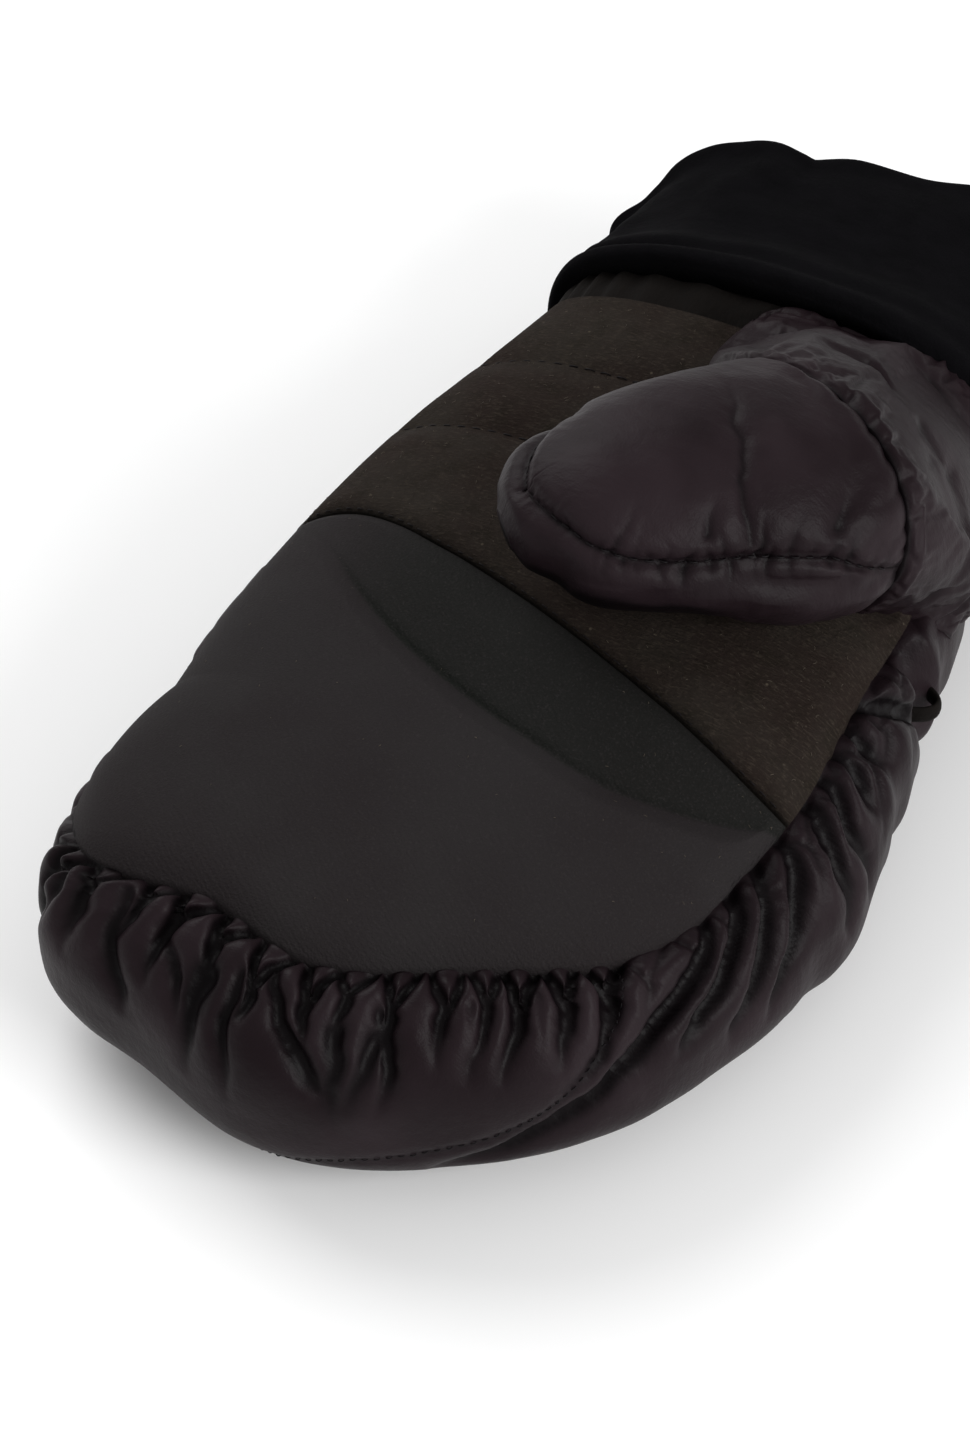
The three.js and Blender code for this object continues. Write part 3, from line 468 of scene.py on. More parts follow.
# %% Cuff, band and thread
def cuff_finish():
    s = Surface("cuff_knit")
    nap = s.noise(900, 4, rough=0.7)
    brushed = s.noise(160, 3, stretch=(1, 1.8, 1))
    colour = s.blend(brushed, (0.0017, 0.0016, 0.0019), (0.0041, 0.0038, 0.0046))
    pile = s.bump(nap + brushed, 0.0005, 0.6)
    return s.finish(colour, 0.94 + 0.04 * nap, pile, Specular_IOR_Level=0.03)


def band_finish():
    s = Surface("band_elastic")
    ribs = s.noise(600, 3, stretch=(1.5, 0.5, 1.5))
    colour = s.blend(ribs, (0.0032, 0.0025, 0.0022), (0.0068, 0.0053, 0.0045))
    return s.finish(colour, 0.8 + 0.1 * ribs, s.bump(ribs, 0.0005, 0.6), Specular_IOR_Level=0.08)


def thread_finish(name, colour):
    s = Surface(name)
    twist = s.noise(3200, 2)
    tone = s.blend(twist, colour, tuple(min(1, c * 1.7) for c in colour))
    return s.finish(tone, 0.55 + 0.2 * twist, s.bump(twist, 0.0001, 0.6), Specular_IOR_Level=0.12)


nylon, felt, softshell = nylon_finish(), felt_finish(), softshell_finish()
fleece, elastic = cuff_finish(), band_finish()
thread = thread_finish("thread_black", (0.0045, 0.0034, 0.004))
lint = thread_finish("lint_pale", (0.075, 0.062, 0.048))
print("finishes:", [m.name for m in (nylon, felt, softshell, fleece, elastic, thread, lint)])

# %% [markdown]
# ## The rim of the hand
# The shell and the palm meet in one seam that runs from the left side of the wrist, round the
# fingertips, to the thumb side. We walk round that rim in even steps. Each station knows where its line
# over the floor starts, which way it points, and how far inside the outline the seam lies.


# %% Stations round the rim
def rim_edge(place):
    """Line start and outline point; place is 0 to 1 on the left, to 2 round the tips, to 3 right."""
    place = np.asarray(place, float)
    y = HAND_LENGTH + (TIP_CENTRE[1] - HAND_LENGTH) * np.where(place < 1, place, 3 - place)
    y = np.maximum(y, TIP_CENTRE[1])
    side_x = np.where(place < 1.5, left_edge(y), right_edge(y))
    turn = np.clip(place - 1, 0, 1)
    angle, reach = np.pi * (1 + turn), tip_reach(turn)
    tip = TIP_CENTRE + np.stack([reach * np.cos(angle), reach * np.sin(angle)], -1)
    on_tip = (place >= 1) & (place <= 2)
    edge = np.where(on_tip[..., None], tip, np.stack([side_x, y], -1))
    start = np.where(on_tip[..., None], TIP_CENTRE, np.stack([spine(y), y], -1))
    return start, edge


def rim_stations(side_steps, tip_steps):
    """The same steps on the left and the right, so that both halves meet under the hand."""
    side = np.linspace(0, 1, side_steps, endpoint=False)
    place = np.concatenate([side, np.linspace(1, 2, tip_steps + 1), 3 - side[::-1]])
    start, edge = rim_edge(place)
    run = run_along(edge)
    reach = np.linalg.norm(edge - start, axis=1)
    along = run / run[-1]
    return {
        "place": place, "start": start, "reach": reach, "along": along, "run": run,
        "inset": SEAM_INSET * curve(SEAM_TABLE, along, 1), "toward": (edge - start) / reach[:, None],
    }


def over_floor(rim, distance):
    return rim["start"] + rim["toward"] * np.asarray(distance)[..., None]


def seam_line(rim, shift, lower=False):
    """The seam's upper or lower edge, moved outwards and down by shift."""
    inset = np.maximum(rim["inset"], SHELL_WALL + 3) if lower else rim["inset"]
    base = over_floor(rim, rim["reach"] - inset)
    moved = over_floor(rim, rim["reach"] - inset + shift)
    sunk = SEAM_DIP + (PALM_WALL if lower else 0)
    height = palm_height(base[:, 0], base[:, 1]) - sunk - shift
    return np.concatenate([moved, height[:, None]], 1)


RIM = rim_stations(88, 224)
print(f"rim: {RIM['run'][-1]:.0f} mm round")

# %% [markdown]
# ## The shell without its gathers
# The shell bulges out from the seam, turns under and lies flat on the table. Each station's line is
# sampled finely, then shared out again so that its points lie close together near the seam, where the
# gathers need them, and far apart underneath.

# %% The smooth shell
BACK_LINES = np.array([  # at, left, right: quilting across the back, as shares of its depth
    [0.37, 0.7, 0.3], [0.57, 0.7, 0.4], [0.695, 0.2, 1.6], [0.76, 0.7, 0.3], [0.88, 0.6, 0.4],
])
BACK_LINE_DEPTH, BACK_LINE_WIDTH = 3.2, 13.0
SHELL_STEPS, SHELL_ROWS = 160, 52  # points down a line as first sampled, and as shared out
EVEN_SHARE = 0.32  # how even the points' distances are: 1 is all the same


def shell_lines(rim):
    """Points down each station's line, from the seam to the middle of the underside."""
    top = (rim["reach"] - rim["inset"]) / rim["reach"]
    first = np.degrees(np.arccos(top ** (TOP_POWER / 2)))
    share = np.linspace(0, 1, SHELL_STEPS)
    lift = first[:, None] + (-90 - first[:, None]) * share[None, :]
    angle = np.radians(np.clip(np.abs(lift), 0, 90))
    power = 2 / np.where(lift > 0, TOP_POWER, BOTTOM_POWER)
    q = np.where(lift <= -89.99, 0, np.cos(angle) ** power)
    rise = np.sin(angle) ** power
    height = (crown(rim["start"][:, 1]) - EQUATOR)[:, None]
    z = np.where(lift > 0, EQUATOR + height * rise, EQUATOR * (1 - rise) - REST_FLAT)
    flat = rim["start"][:, None] + rim["toward"][:, None] * (rim["reach"][:, None] * q)[..., None]
    return np.concatenate([flat, np.maximum(z, 0)[..., None]], 2)


def shared_out(lines, counts):
    """The same lines with counts points, closer together at their start."""
    made = np.empty((len(lines), counts, 3))
    length = np.empty((len(lines), counts))
    for k, line in enumerate(lines):
        run = run_along(line)
        t = np.linspace(0, 1, counts)
        length[k] = run[-1] * mix(t**2, t, EVEN_SHARE)
        for axis in range(3):
            made[k, :, axis] = np.interp(length[k], run, line[:, axis])
    return made, length


shell_smooth, shell_down = shared_out(shell_lines(RIM), SHELL_ROWS)
shell_out = normals_of(shell_smooth, flip=True)
print("shell grid", shell_smooth.shape, "outward at the left:", shell_out[40, 12].round(2))

# %% [markdown]
# ## Creases as drawn lines
# An elastic zigzag seam draws the nylon together. Every zigzag pulls up a small V of cloth, the two arms
# of the V run together into one crease, and some creases go on as long folds. Sine waves can't branch
# like that. So the creases are drawn as short lines on the flattened cloth, along the seam and down from
# it, and every point sinks or swells by its distance to the nearest one.

# %% Drawing creases on the flattened cloth
SEAM_LONG = RIM["run"][-1]
WIDTH = 6  # the column of a crease's row that holds its width
FAR_OFF = 99.0  # mm, where nothing is near


def gathered(u):
    """How strongly the seam gathers the cloth at a place along it, from 0 to 1."""
    return np.clip(curve(SEAM_TABLE, u / SEAM_LONG, 2), 0, 1)


def crease_tree():
    """Rows of u0, v0, u1, v1, depth0, depth1, width: v is the distance down from the seam."""
    rng = np.random.default_rng(7)
    rows, u = [], 0.13 * SEAM_LONG
    while u < 0.965 * SEAM_LONG:
        along = u / SEAM_LONG
        gather, lean = float(gathered(u)), float(curve(SEAM_TABLE, along, 3))
        half = rng.uniform(3.6, 6.0)
        high = rng.uniform(5.5, 10.5) * (0.6 + 0.4 * gather)
        deep = rng.uniform(1.2, 1.9) * gather * (1.0 if along < 0.66 else 0.4)
        slant = lean * 3 + rng.uniform(-1.4, 1.4)
        foot = u + slant
        rows.append([u - half, 0, foot, high, deep, deep, 1.0])
        rows.append([u + half, 0, foot, high * rng.uniform(0.75, 1), deep, deep * 0.9, 1.0])
        stem = rng.uniform(5, 13)
        end = foot + lean * stem * 0.55 + rng.uniform(-1.5, 1.5)
        rows.append([foot, high, end, high + stem, deep * 1.1, 0.25 * deep, 1.5])
        if rng.uniform() < 0.3 and along < 0.64:
            far = high + stem + rng.uniform(9, 19)
            rows.append([
                end, high + stem * 0.6, end + lean * 9 + rng.uniform(-5, 5), far, deep * 1.2, 0, 3.0,
            ])
        u += half * 2 * rng.uniform(0.98, 1.18)
    return np.array(rows)


def sunk_by(lines, u, v, soft=1.0, reach=14.0, shallow=(0.8, 3.5)):
    """How deep the lines sink the cloth, and how near the closest one is.

    soft rounds the bottoms; points further off than reach are left out, which saves time. A line less
    deep than the first number of shallow counts as up to the second number of millimetres further away.
    """
    depth, near = np.zeros_like(u), np.full_like(u, FAR_OFF)
    for u0, v0, u1, v1, deep0, deep1, width in lines:
        pick = (np.abs(u - (u0 + u1) / 2) < abs(u1 - u0) / 2 + reach) & (v < v1 + reach)
        du, dv = u1 - u0, v1 - v0
        t = np.clip(((u[pick] - u0) * du + (v[pick] - v0) * dv) / (du * du + dv * dv), 0, 1)
        away = np.hypot(u[pick] - u0 - t * du, v[pick] - v0 - t * dv)
        deep = mix(deep0, deep1, t)
        fall = np.exp((soft - np.hypot(away, soft)) / width)
        depth[pick] = np.maximum(depth[pick], deep * fall)
        further = shallow[1] * (1 - np.clip(deep / shallow[0], 0, 1))
        near[pick] = np.minimum(near[pick], away + further)
    return depth, near


# %% [markdown]
# The long folds are drawn point by point: the deep one that runs from the thumb side down and
# under the tips, the slack ones along the thumb side, and shorter ones over the tips of the fingers.
# They are wider and softer than the creases at the seam.
#
# Padding rounds a crease, but the cloth stays sharp at its bottom. So the broad relief goes into the
# cloth simulation, and the narrow bottoms of the same creases are sunk afterwards, on a finer mesh.

# %% Long folds and the topstitched line
FOLD_PATHS = [  # depth, width, then share along the rim and mm down, point by point
    (3.0, 2.8, [
        (0.696, 6), (0.685, 9.7), (0.666, 15.8), (0.653, 21.7), (0.63, 31.9), (0.601, 41.8), (0.57, 49),
    ]),
    (1.3, 1.6, [(0.378, 2), (0.386, 9), (0.389, 20)]),
    (1.3, 1.6, [(0.394, 3), (0.402, 12), (0.408, 24)]),
    (1.4, 1.6, [(0.411, 5), (0.421, 15.7), (0.436, 24.6), (0.44, 32)]),
    (1.2, 1.8, [(0.438, 10), (0.457, 17), (0.469, 27)]),
    (1.5, 2.0, [(0.483, 9), (0.486, 17), (0.497, 33)]),
    (1.8, 2.4, [(0.498, 5), (0.512, 15), (0.525, 21), (0.544, 29)]),
    (1.6, 2.2, [(0.549, 9), (0.557, 19), (0.552, 29)]),
    (0.9, 1.5, [(0.589, 8), (0.592, 17)]),
    (0.9, 1.5, [(0.621, 6), (0.617, 17)]),
    (1.6, 2.0, [(0.664, 1), (0.651, 8), (0.64, 19), (0.62, 27)]),
    (2.0, 2.2, [(0.71, 1), (0.694, 7.6), (0.672, 15)]),
    (2.6, 2.4, [(0.733, 1), (0.713, 8.6), (0.686, 17), (0.67, 24)]),
    (2.4, 2.4, [(0.75, 1), (0.727, 12), (0.709, 21), (0.697, 28)]),
    (2.4, 2.4, [(0.765, 1), (0.748, 13), (0.73, 20), (0.715, 30)]),
    (2.4, 2.4, [(0.782, 1), (0.772, 13), (0.765, 28)]),
    (2.4, 2.4, [(0.797, 1), (0.788, 12), (0.79, 31)]),
    (2.0, 2.2, [(0.812, 0.5), (0.807, 8), (0.804, 18)]),
    (2.2, 2.2, [(0.827, 0.5), (0.822, 6), (0.832, 16)]),
    (2.8, 2.4, [(0.838, 1), (0.849, 7), (0.862, 14), (0.872, 26)]),
]


def fold_lines(paths, deep=1.0, width=None):
    """Paths as rows of straight lines; each starts a little shallower and runs out to nothing."""
    rows = []
    for depth, wide, points in paths:
        fades = np.sin(np.pi * np.linspace(0.12, 1, len(points))) ** 0.5 * depth * deep
        for k in range(len(points) - 1):
            (a, down), (b, lower) = points[k], points[k + 1]
            rows.append([
                a * SEAM_LONG, down, b * SEAM_LONG, lower, fades[k], fades[k + 1], width or wide,
            ])
    return np.array(rows)


# step, share along the rim, mm down from the seam
STITCH_TABLE = np.array([
    [0, 0.663, 0.5], [1, 0.656, 7], [2, 0.647, 14], [3, 0.627, 25], [4, 0.604, 34.5], [5, 0.568, 40],
    [6, 0.537, 43.5], [7, 0.51, 48], [8, 0.485, 54],
])
STITCH_STEPS = np.linspace(0, 8, 33)
STITCH_PATH = [tuple(float(curve(STITCH_TABLE, k, column)) for column in (1, 2)) for k in STITCH_STEPS]
print(f"{len(crease_tree())} creases at the seam, {len(FOLD_PATHS)} long folds")

# %% The shell's relief
# share along the rim, how much further the padding pushes the side out there
FULLER = np.array([[0, 0], [0.69, 0], [0.735, 2.4], [0.77, 3.8], [0.8, 0.8], [0.83, 0], [1, 0]])
GATHERS_REACH = 24.0  # mm from the seam over which the cloth swells between the gathers
SWELL = 1.3  # mm that it swells
GATHER_SHARE, FOLD_SHARE = 0.6, 0.75  # the part of a crease's depth that the broad relief takes


def strayed(u, v):
    """Places on the cloth, moved a little, so that drawn lines come out uneven."""
    wander = 0.8 * wobble(u, v, 6.5, 3) + 0.4 * wobble(u, v, 2.6, 4)
    return u + wander, v + 0.8 * wobble(u, v, 8.0, 5)


def shell_relief(u, v):
    """How far the shell's cloth stands out, in millimetres, and how firmly the creases hold it."""
    fine, near = sunk_by(crease_tree(), *strayed(u, v))
    broad, near_fold = sunk_by(fold_lines(FOLD_PATHS), *strayed(u, v))
    gather = gathered(u)
    zone = gather * np.exp(-((v / GATHERS_REACH) ** 2))
    puff = (1 - np.exp(-np.minimum(near, near_fold) / 1.9)) * zone * smooth(v / 6)
    slack = 0.35 * wobble(u + 0.5 * v, 0.4 * v, 7.0, 8) * gather * np.exp(-v / 45)
    dip = SEAM_DIP * (1 - smooth(v / 4.5))
    full = curve(FULLER, u / SEAM_LONG, 1) * smooth(v / 22) * (1 - smooth((v - 40) / 16))
    held = np.clip(fine / 1.3, 0, 1)
    return full + SWELL * puff - GATHER_SHARE * fine - FOLD_SHARE * broad + slack - dip, held


def sharp_creases(u, v):
    """The narrow bottoms of the same creases, and the topstitched line, drawn on the fine mesh."""
    tree = crease_tree()
    tree[:, WIDTH] *= 0.7
    folds, stitched = fold_lines(FOLD_PATHS, 0.8, 1.15), fold_lines([(0.6, 0.7, STITCH_PATH)])
    fine = sunk_by(tree, *strayed(u, v), 0.35)[0] * smooth(v / 1.5)
    fine = np.maximum(fine, sunk_by(folds, *strayed(u, v), 0.5)[0] * smooth(v / 1.5))
    return np.maximum(fine, sunk_by(stitched, u, v, 0.35)[0])


u = RIM["run"][:, None] + 0 * shell_down
relief, firm = shell_relief(u, shell_down)
across = np.where(RIM["place"] < 1.5, -1, 1)[:, None] * np.ones(SHELL_ROWS)
quilt = np.zeros_like(relief)
for at, left, right in BACK_LINES:
    share = np.where(across < 0, left, right)
    cut = valley(shell_smooth[..., 1] - at * HAND_LENGTH, BACK_LINE_WIDTH)
    quilt = np.maximum(quilt, BACK_LINE_DEPTH * share * cut)
under = smooth(1 - shell_down / shell_down[:, -1:] * 1.05)
relief -= quilt * (0.15 + 0.85 * under)
shell_points = shell_smooth + shell_out * relief[..., None]
shell_points[..., 2] = np.maximum(shell_points[..., 2], 0.05)
shell_points[:, -1] = shell_smooth[:, -1] + [0, 0, 0.4]
print("relief from", relief.min().round(1), "to", relief.max().round(1), "mm")

# %% [markdown]
# ## Letting the filling push the cloth out
# Drawn creases alone look carved. So the shell's skin is handed to the cloth solver for a moment: it is
# held at the seam, at the wrist and on the table, the padding pushes from inside, and the cloth between
# the creases swells and finds its own small folds. Each point may move only a few millimetres.


# %% A short cloth simulation
PADDING_PRESSURE, FRAMES = 6.0, 16


def filled_out(name, points, faces, held, most, grow=0.04):
    """The points after the padding has pushed the cloth out by at most so many millimetres.

    held is 1 where the cloth is sewn down and 0 where it is free; grow is how much too large it is cut.
    """
    mesh = bpy.data.meshes.new(name)
    mesh.from_pydata(((points + ORIGIN) / 1000).tolist(), [], faces)
    skin = bpy.data.objects.new(name, mesh)
    bpy.context.scene.collection.objects.link(skin)
    sewn = skin.vertex_groups.new(name="sewn")
    for weight in np.unique(held[held > 0]):
        sewn.add(np.flatnonzero(held == weight).tolist(), float(weight), "REPLACE")
    cloth = skin.modifiers.new("padding", "CLOTH")
    cloth.settings.quality = 5
    cloth.settings.mass = 0.02
    cloth.settings.tension_stiffness = cloth.settings.compression_stiffness = 12
    cloth.settings.shear_stiffness = 6
    cloth.settings.bending_stiffness = 0.05
    cloth.settings.vertex_group_mass = "sewn"
    cloth.settings.use_pressure = True
    cloth.settings.uniform_pressure_force = PADDING_PRESSURE
    cloth.settings.shrink_min = -grow
    cloth.settings.effector_weights.gravity = 0
    cloth.collision_settings.use_collision = False
    cloth.point_cache.frame_start, cloth.point_cache.frame_end = 1, FRAMES
    for frame_number in range(1, FRAMES + 1):
        bpy.context.scene.frame_set(frame_number)
    solved = skin.evaluated_get(bpy.context.evaluated_depsgraph_get()).data
    moved = np.empty(len(points) * 3)
    solved.vertices.foreach_get("co", moved)
    shift = moved.reshape(-1, 3) * 1000 - ORIGIN - points
    bpy.data.objects.remove(skin)
    bpy.context.scene.frame_set(1)
    far = np.linalg.norm(shift, axis=1)
    print(f"{name}: moved {np.median(far):.2f} mm in the middle, {far.max():.1f} at most")
    return points + shift * (np.minimum(far, most) / np.maximum(far, 1e-9))[:, None]


def filled_grid(name, grid, held, most, flip=False, **more):
    index = np.arange(grid.shape[0] * grid.shape[1]).reshape(grid.shape[:2])
    faces = grid_faces(index, flip)
    return filled_out(name, grid.reshape(-1, 3), faces, held.ravel(), most, **more).reshape(grid.shape)


# %% The shell, filled and closed
shell_held = np.maximum(np.clip(1 - shell_down / 3.0, 0, 1), 0.8 * firm)
shell_held = np.maximum(shell_held, smooth((4.0 - shell_points[..., 2]) / 3.0))
shell_held[:3] = shell_held[-3:] = 1
shell_points = filled_grid("shell_skin", shell_points, shell_held.round(1), 2.2, flip=True)
shell_fine = refine(shell_points)
fine_u, fine_v = np.moveaxis(refine(np.stack([u, shell_down], 2)), 2, 0)
shell_sharp = sharp_creases(fine_u, fine_v)
shell_fine -= normals_of(shell_fine, flip=True) * shell_sharp[..., None]
shell_fine[..., 2] = np.maximum(shell_fine[..., 2], 0.0)
# painted shade: full in the sharp creases and the seam, faint over the whole gathered zone by the seam
gather_painted_shade = 0.35 * gathered(fine_u) * np.exp(-fine_v / 9)
shell_painted_shade = np.maximum(np.clip(shell_sharp, 0, 1), np.maximum(1 - fine_v, gather_painted_shade))
LINING_STEP = 3  # one row of the lining for so many stations of the rim


def shell_lining(rim):
    pick = np.unique(np.append(np.arange(0, len(rim["reach"]), LINING_STEP), len(rim["reach"]) - 1))
    part = {name: values[pick] for name, values in rim.items()}
    rows = [seam_line(part, 0.0, lower=True)]
    for lift in (0, 30, 58, 90):
        angle = math.radians(lift)
        q, rise = math.cos(angle) ** (2 / BOTTOM_POWER), math.sin(angle) ** (2 / BOTTOM_POWER)
        flat = over_floor(part, (part["reach"] - SHELL_WALL) * (q if lift < 90 else 0))
        z = np.full(len(pick), EQUATOR - (EQUATOR - SHELL_WALL) * rise)
        rows.append(np.concatenate([flat, z[:, None]], 1))
    return np.stack(rows, 1)


shell = piece(
    "back_shell_nylon", *closed_panel(shell_fine, shell_lining(RIM), flip=True, edges=1),
    nylon, "shell_nylon", "back_shell", shell_painted_shade,
)

# %% [markdown]
# ## The softshell finger panel and the felt palm
# Both lie on the padding between the seams. The finger panel is smooth, apart from one slack crease
# below the seam across the hand. The palm is quilted: two sewn lines sink into it and the felt swells
# between them. Their edges are drawn down into the seams by the stitches. Little light gets into the
# crease, into the seam and onto the slack strip between them, so painted shade darkens them too.

# %% Lines of the palm side
CREASE = np.array([  # across the panel, drop from the middle seam (share of the length), depth
    [0, 0.012, 0], [0.144, 0.069, 0.3], [0.216, 0.094, 0.7], [0.298, 0.112, 0.95], [0.378, 0.123, 1],
    [0.462, 0.128, 1], [0.547, 0.127, 1], [0.619, 0.122, 0.95], [0.692, 0.116, 0.9], [0.765, 0.105, 0.9],
    [0.826, 0.088, 0.8], [0.9, 0.062, 0.7], [0.965, 0.033, 0.5], [1, 0.016, 0.2],
])
MIDDLE_SHIFT = np.array([[0, 2], [0.12, 1], [0.315, -2.5], [0.625, -0.5], [0.825, 1.8], [1, 2.5]])
CREASE_DEPTH, CREASE_WIDTH, SHADOW_WIDTH = 3.2, 15.0, 0.9
PALM_LINES = [(0.757, 0.72, 1.0), (0.884, 0.87, 0.9)]  # left, right (shares of the length), depth
PALM_LINE_DEPTH, PALM_LINE_WIDTH = 2.8, 20.0
SEAM_GAP = 0.25  # mm that a panel's edge stays clear of its seam
EDGE_ROUND, SEAM_ROUND = 6.5, 6.0  # mm over which the padding rounds down to the edge and to the seam
SEAM_PLAN = seam_line(RIM, -SEAM_GAP)


def middle_seam(across):
    """y of the seam between the finger panel and the palm."""
    line = mix(108.0, 76.0, smooth(across)) + 7.5 * np.sin(np.pi * across)
    return line + curve(MIDDLE_SHIFT, across, 1)


def seam_x(y, side, lower=False):
    """x of the palm seam on one side of the hand."""
    half = RIM["place"] < 1.0 if side < 0 else RIM["place"] > 2.0
    line = seam_line(RIM, -SEAM_GAP, lower)[half]
    order = np.argsort(RIM["start"][half][:, 1])
    return np.interp(y, RIM["start"][half][order, 1], line[order, 0])


def across_palm(x, y):
    """0 at the palm's left seam to 1 at its right one; further out than that it stays at the end."""
    y_side = np.maximum(y, TIP_CENTRE[1])
    left, right = seam_x(y_side, -1), seam_x(y_side, 1)
    return np.clip((x - left) / (right - left), 0, 1)


def from_seam(x, y):
    """Distance over the floor to the palm seam."""
    shape = np.shape(x)
    points = np.stack([np.ravel(x), np.ravel(y)], 1)
    near = np.full(len(points), FAR_OFF)
    for start in range(0, len(SEAM_PLAN), 40):
        part = SEAM_PLAN[start : start + 40, :2]
        near = np.minimum(near, np.linalg.norm(points[:, None] - part[None], axis=2).min(1))
    return near.reshape(shape)


# %% The relief of the palm side
def palm_relief(x, y):
    """How far the palm side's cloth lies under its smooth height."""
    across = across_palm(x, y)
    middle = middle_seam(across)
    edge = (1 - np.clip(from_seam(x, y) / EDGE_ROUND, 0, 1)) ** 2.4
    seam = (1 - np.clip(np.abs(y - middle) / SEAM_ROUND, 0, 1)) ** 2.6
    lines = np.zeros_like(x)
    for from_left, from_right, deep in PALM_LINES:
        away = np.abs(y - HAND_LENGTH * mix(from_left, from_right, across))
        groove = (1 - np.clip(away / (PALM_LINE_WIDTH / 2), 0, 1)) ** 1.7
        lines = np.maximum(lines, deep * PALM_LINE_DEPTH * groove)
    drop = middle - y - HAND_LENGTH * curve(CREASE, across, 1)
    deep = CREASE_DEPTH * curve(CREASE, across, 2)
    sag = np.where(drop < 0, valley(drop, 2.1 * CREASE_WIDTH), valley(drop, 0.9 * CREASE_WIDTH))
    line = 0.34 * deep * np.exp(-np.abs(drop) / SHADOW_WIDTH)
    inner = np.where(y > middle, lines, deep * sag + line) * (1 - edge)
    return np.maximum(np.maximum(SEAM_DIP * edge, SEAM_DIP * 0.9 * seam), inner)


def palm_surface(x, y, lower=False):
    height = palm_height(x, y)
    z = height - SEAM_DIP - PALM_WALL + SEAM_GAP if lower else height - palm_relief(x, y)
    return np.stack([x, y, z], -1)


# %% The felt palm
def palm_grid(rows, columns, lower=False):
    """Points between the seam across the hand and the wrist, closer together near the sides."""
    even = np.linspace(0, 1, columns)[:, None]
    across, down = mix(even, smooth(even), 0.35), np.linspace(0, 1, rows)[None, :]
    y = mix(middle_seam(across) + SEAM_GAP, HAND_LENGTH, down)
    x = mix(seam_x(y, -1, lower), seam_x(y, 1, lower), across)
    return palm_surface(x, y, lower)


def rumple(grid, amount, size, seed):
    """Lifts a panel's points by a soft wobble that fades at its edges."""
    fade = np.minimum(1, from_seam(grid[..., 0], grid[..., 1]) / 8)
    grid[..., 2] += amount * fade * wobble(grid[..., 0], grid[..., 1], size, seed)
    return grid


def seam_shadow(x, y):
    """Painted shadow: most at the bottom of the seam across the hand, and 0 a few millimetres off."""
    return 1.3 * np.exp(-np.abs(y - middle_seam(across_palm(x, y))) / SHADOW_WIDTH)


felt_top = rumple(rumple(palm_grid(150, 190), 0.45, 19, 21), 0.12, 5, 22)
palm = piece(
    "palm_felt", *closed_panel(felt_top, palm_grid(12, 14, lower=True), flip=True),
    felt, "palm_felt", "palm_panel", seam_shadow(felt_top[..., 0], felt_top[..., 1]),
)


# %% The softshell finger panel
def finger_grid(rows, columns, lower=False):
    left_y, right_y = float(middle_seam(0.0)) - SEAM_GAP, float(middle_seam(1.0)) - SEAM_GAP
    to_place = lambda y: (HAND_LENGTH - y) / (HAND_LENGTH - TIP_CENTRE[1])
    place = np.linspace(to_place(left_y), 3 - to_place(right_y), columns)
    edge_line = seam_line(RIM, -SEAM_GAP, lower)
    end = np.stack([np.interp(place, RIM["place"], edge_line[:, k]) for k in (0, 1)], 1)
    across = np.linspace(0, 1, columns)
    start_y = middle_seam(across) - SEAM_GAP
    start_x = mix(seam_x(start_y, -1, lower), seam_x(start_y, 1, lower), across)
    down = np.linspace(0, 1, rows)[None, :]
    x = mix(start_x[:, None], end[:, :1], down)
    y = mix(start_y[:, None], end[:, 1:], down)
    return palm_surface(x, y, lower)


def slack_strip_shade(x, y):
    """Painted shade: 1 where the cloth hangs slack between its crease and the middle seam, more in both.
    """
    across = across_palm(x, y)
    above = y - middle_seam(across) + HAND_LENGTH * curve(CREASE, across, 1)
    strip = smooth(above / 1.6 + 0.5) * smooth((across - 0.08) / 0.24)
    ends = smooth((across - 0.1) / 0.12) * mix(1, 0.25, smooth((across - 0.5) / 0.25))
    crease = 0.75 * ends * np.exp(-np.abs(above - 0.3) / SHADOW_WIDTH)
    return np.maximum(strip + crease, seam_shadow(x, y))


fingers_top = rumple(rumple(finger_grid(150, 230), 0.5, 24, 31), 0.08, 6, 32)
fingers = piece(
    "finger_softshell", *closed_panel(fingers_top, finger_grid(12, 24, lower=True), flip=False),
    softshell, "finger_softshell", "finger_panel", slack_strip_shade(fingers_top[..., 0], fingers_top[..., 1]),
)

# %% [markdown]
# ## The thumb
# The thumb stands over the palm. Two nylon panels, one over and one under, meet in a seam round its
# sides and tip, and a seam round its base joins them to the heel, which runs up to the cuff. Rings along
# the thumb's line make one skin; it is filled like the shell, then parted along its seams.

# %% Measures of the thumb
THUMB_ROOT = np.array([47.0, HAND_LENGTH - 26.0])
THUMB_HEADING, THUMB_REACH, THUMB_RISE = math.radians(230), 90.0, 75.0
THUMB_WIDTH, THUMB_HEIGHT = 58.0, 47.0
BASE_SEAM, LEAF_END, THUMB_END = 0.33, 0.932, 0.985  # places along the thumb
THUMB_SECTIONS = np.array([  # along, aside, rise, wide, high
    [0, 0.4, 0.38, 0.46, 0.5], [0.015, 0.38, 0.52, 0.68, 0.78], [0.055, 0.32, 0.66, 0.84, 0.96],
    [0.14, 0.17, 0.77, 0.97, 1.02], [0.35, 0, 0.87, 0.97, 0.93], [0.565, -0.01, 0.96, 0.84, 0.79],
    [0.77, 0, 1, 0.71, 0.67], [0.88, 0.04, 1, 0.54, 0.52], [0.955, 0.05, 0.99, 0.31, 0.31],
    [0.985, 0.055, 0.985, 0.14, 0.14],
])
heading = np.array([math.cos(THUMB_HEADING), math.sin(THUMB_HEADING), 0])
thumb_aside = np.cross(heading, [0, 0, 1])


def thumb_middle(along):
    line = np.append(THUMB_ROOT, 0) + heading * THUMB_REACH * np.asarray(along)[..., None]
    line = line + thumb_aside * THUMB_WIDTH * curve(THUMB_SECTIONS, along, 1)[..., None]
    line[..., 2] = THUMB_RISE * curve(THUMB_SECTIONS, along, 2)
    return line


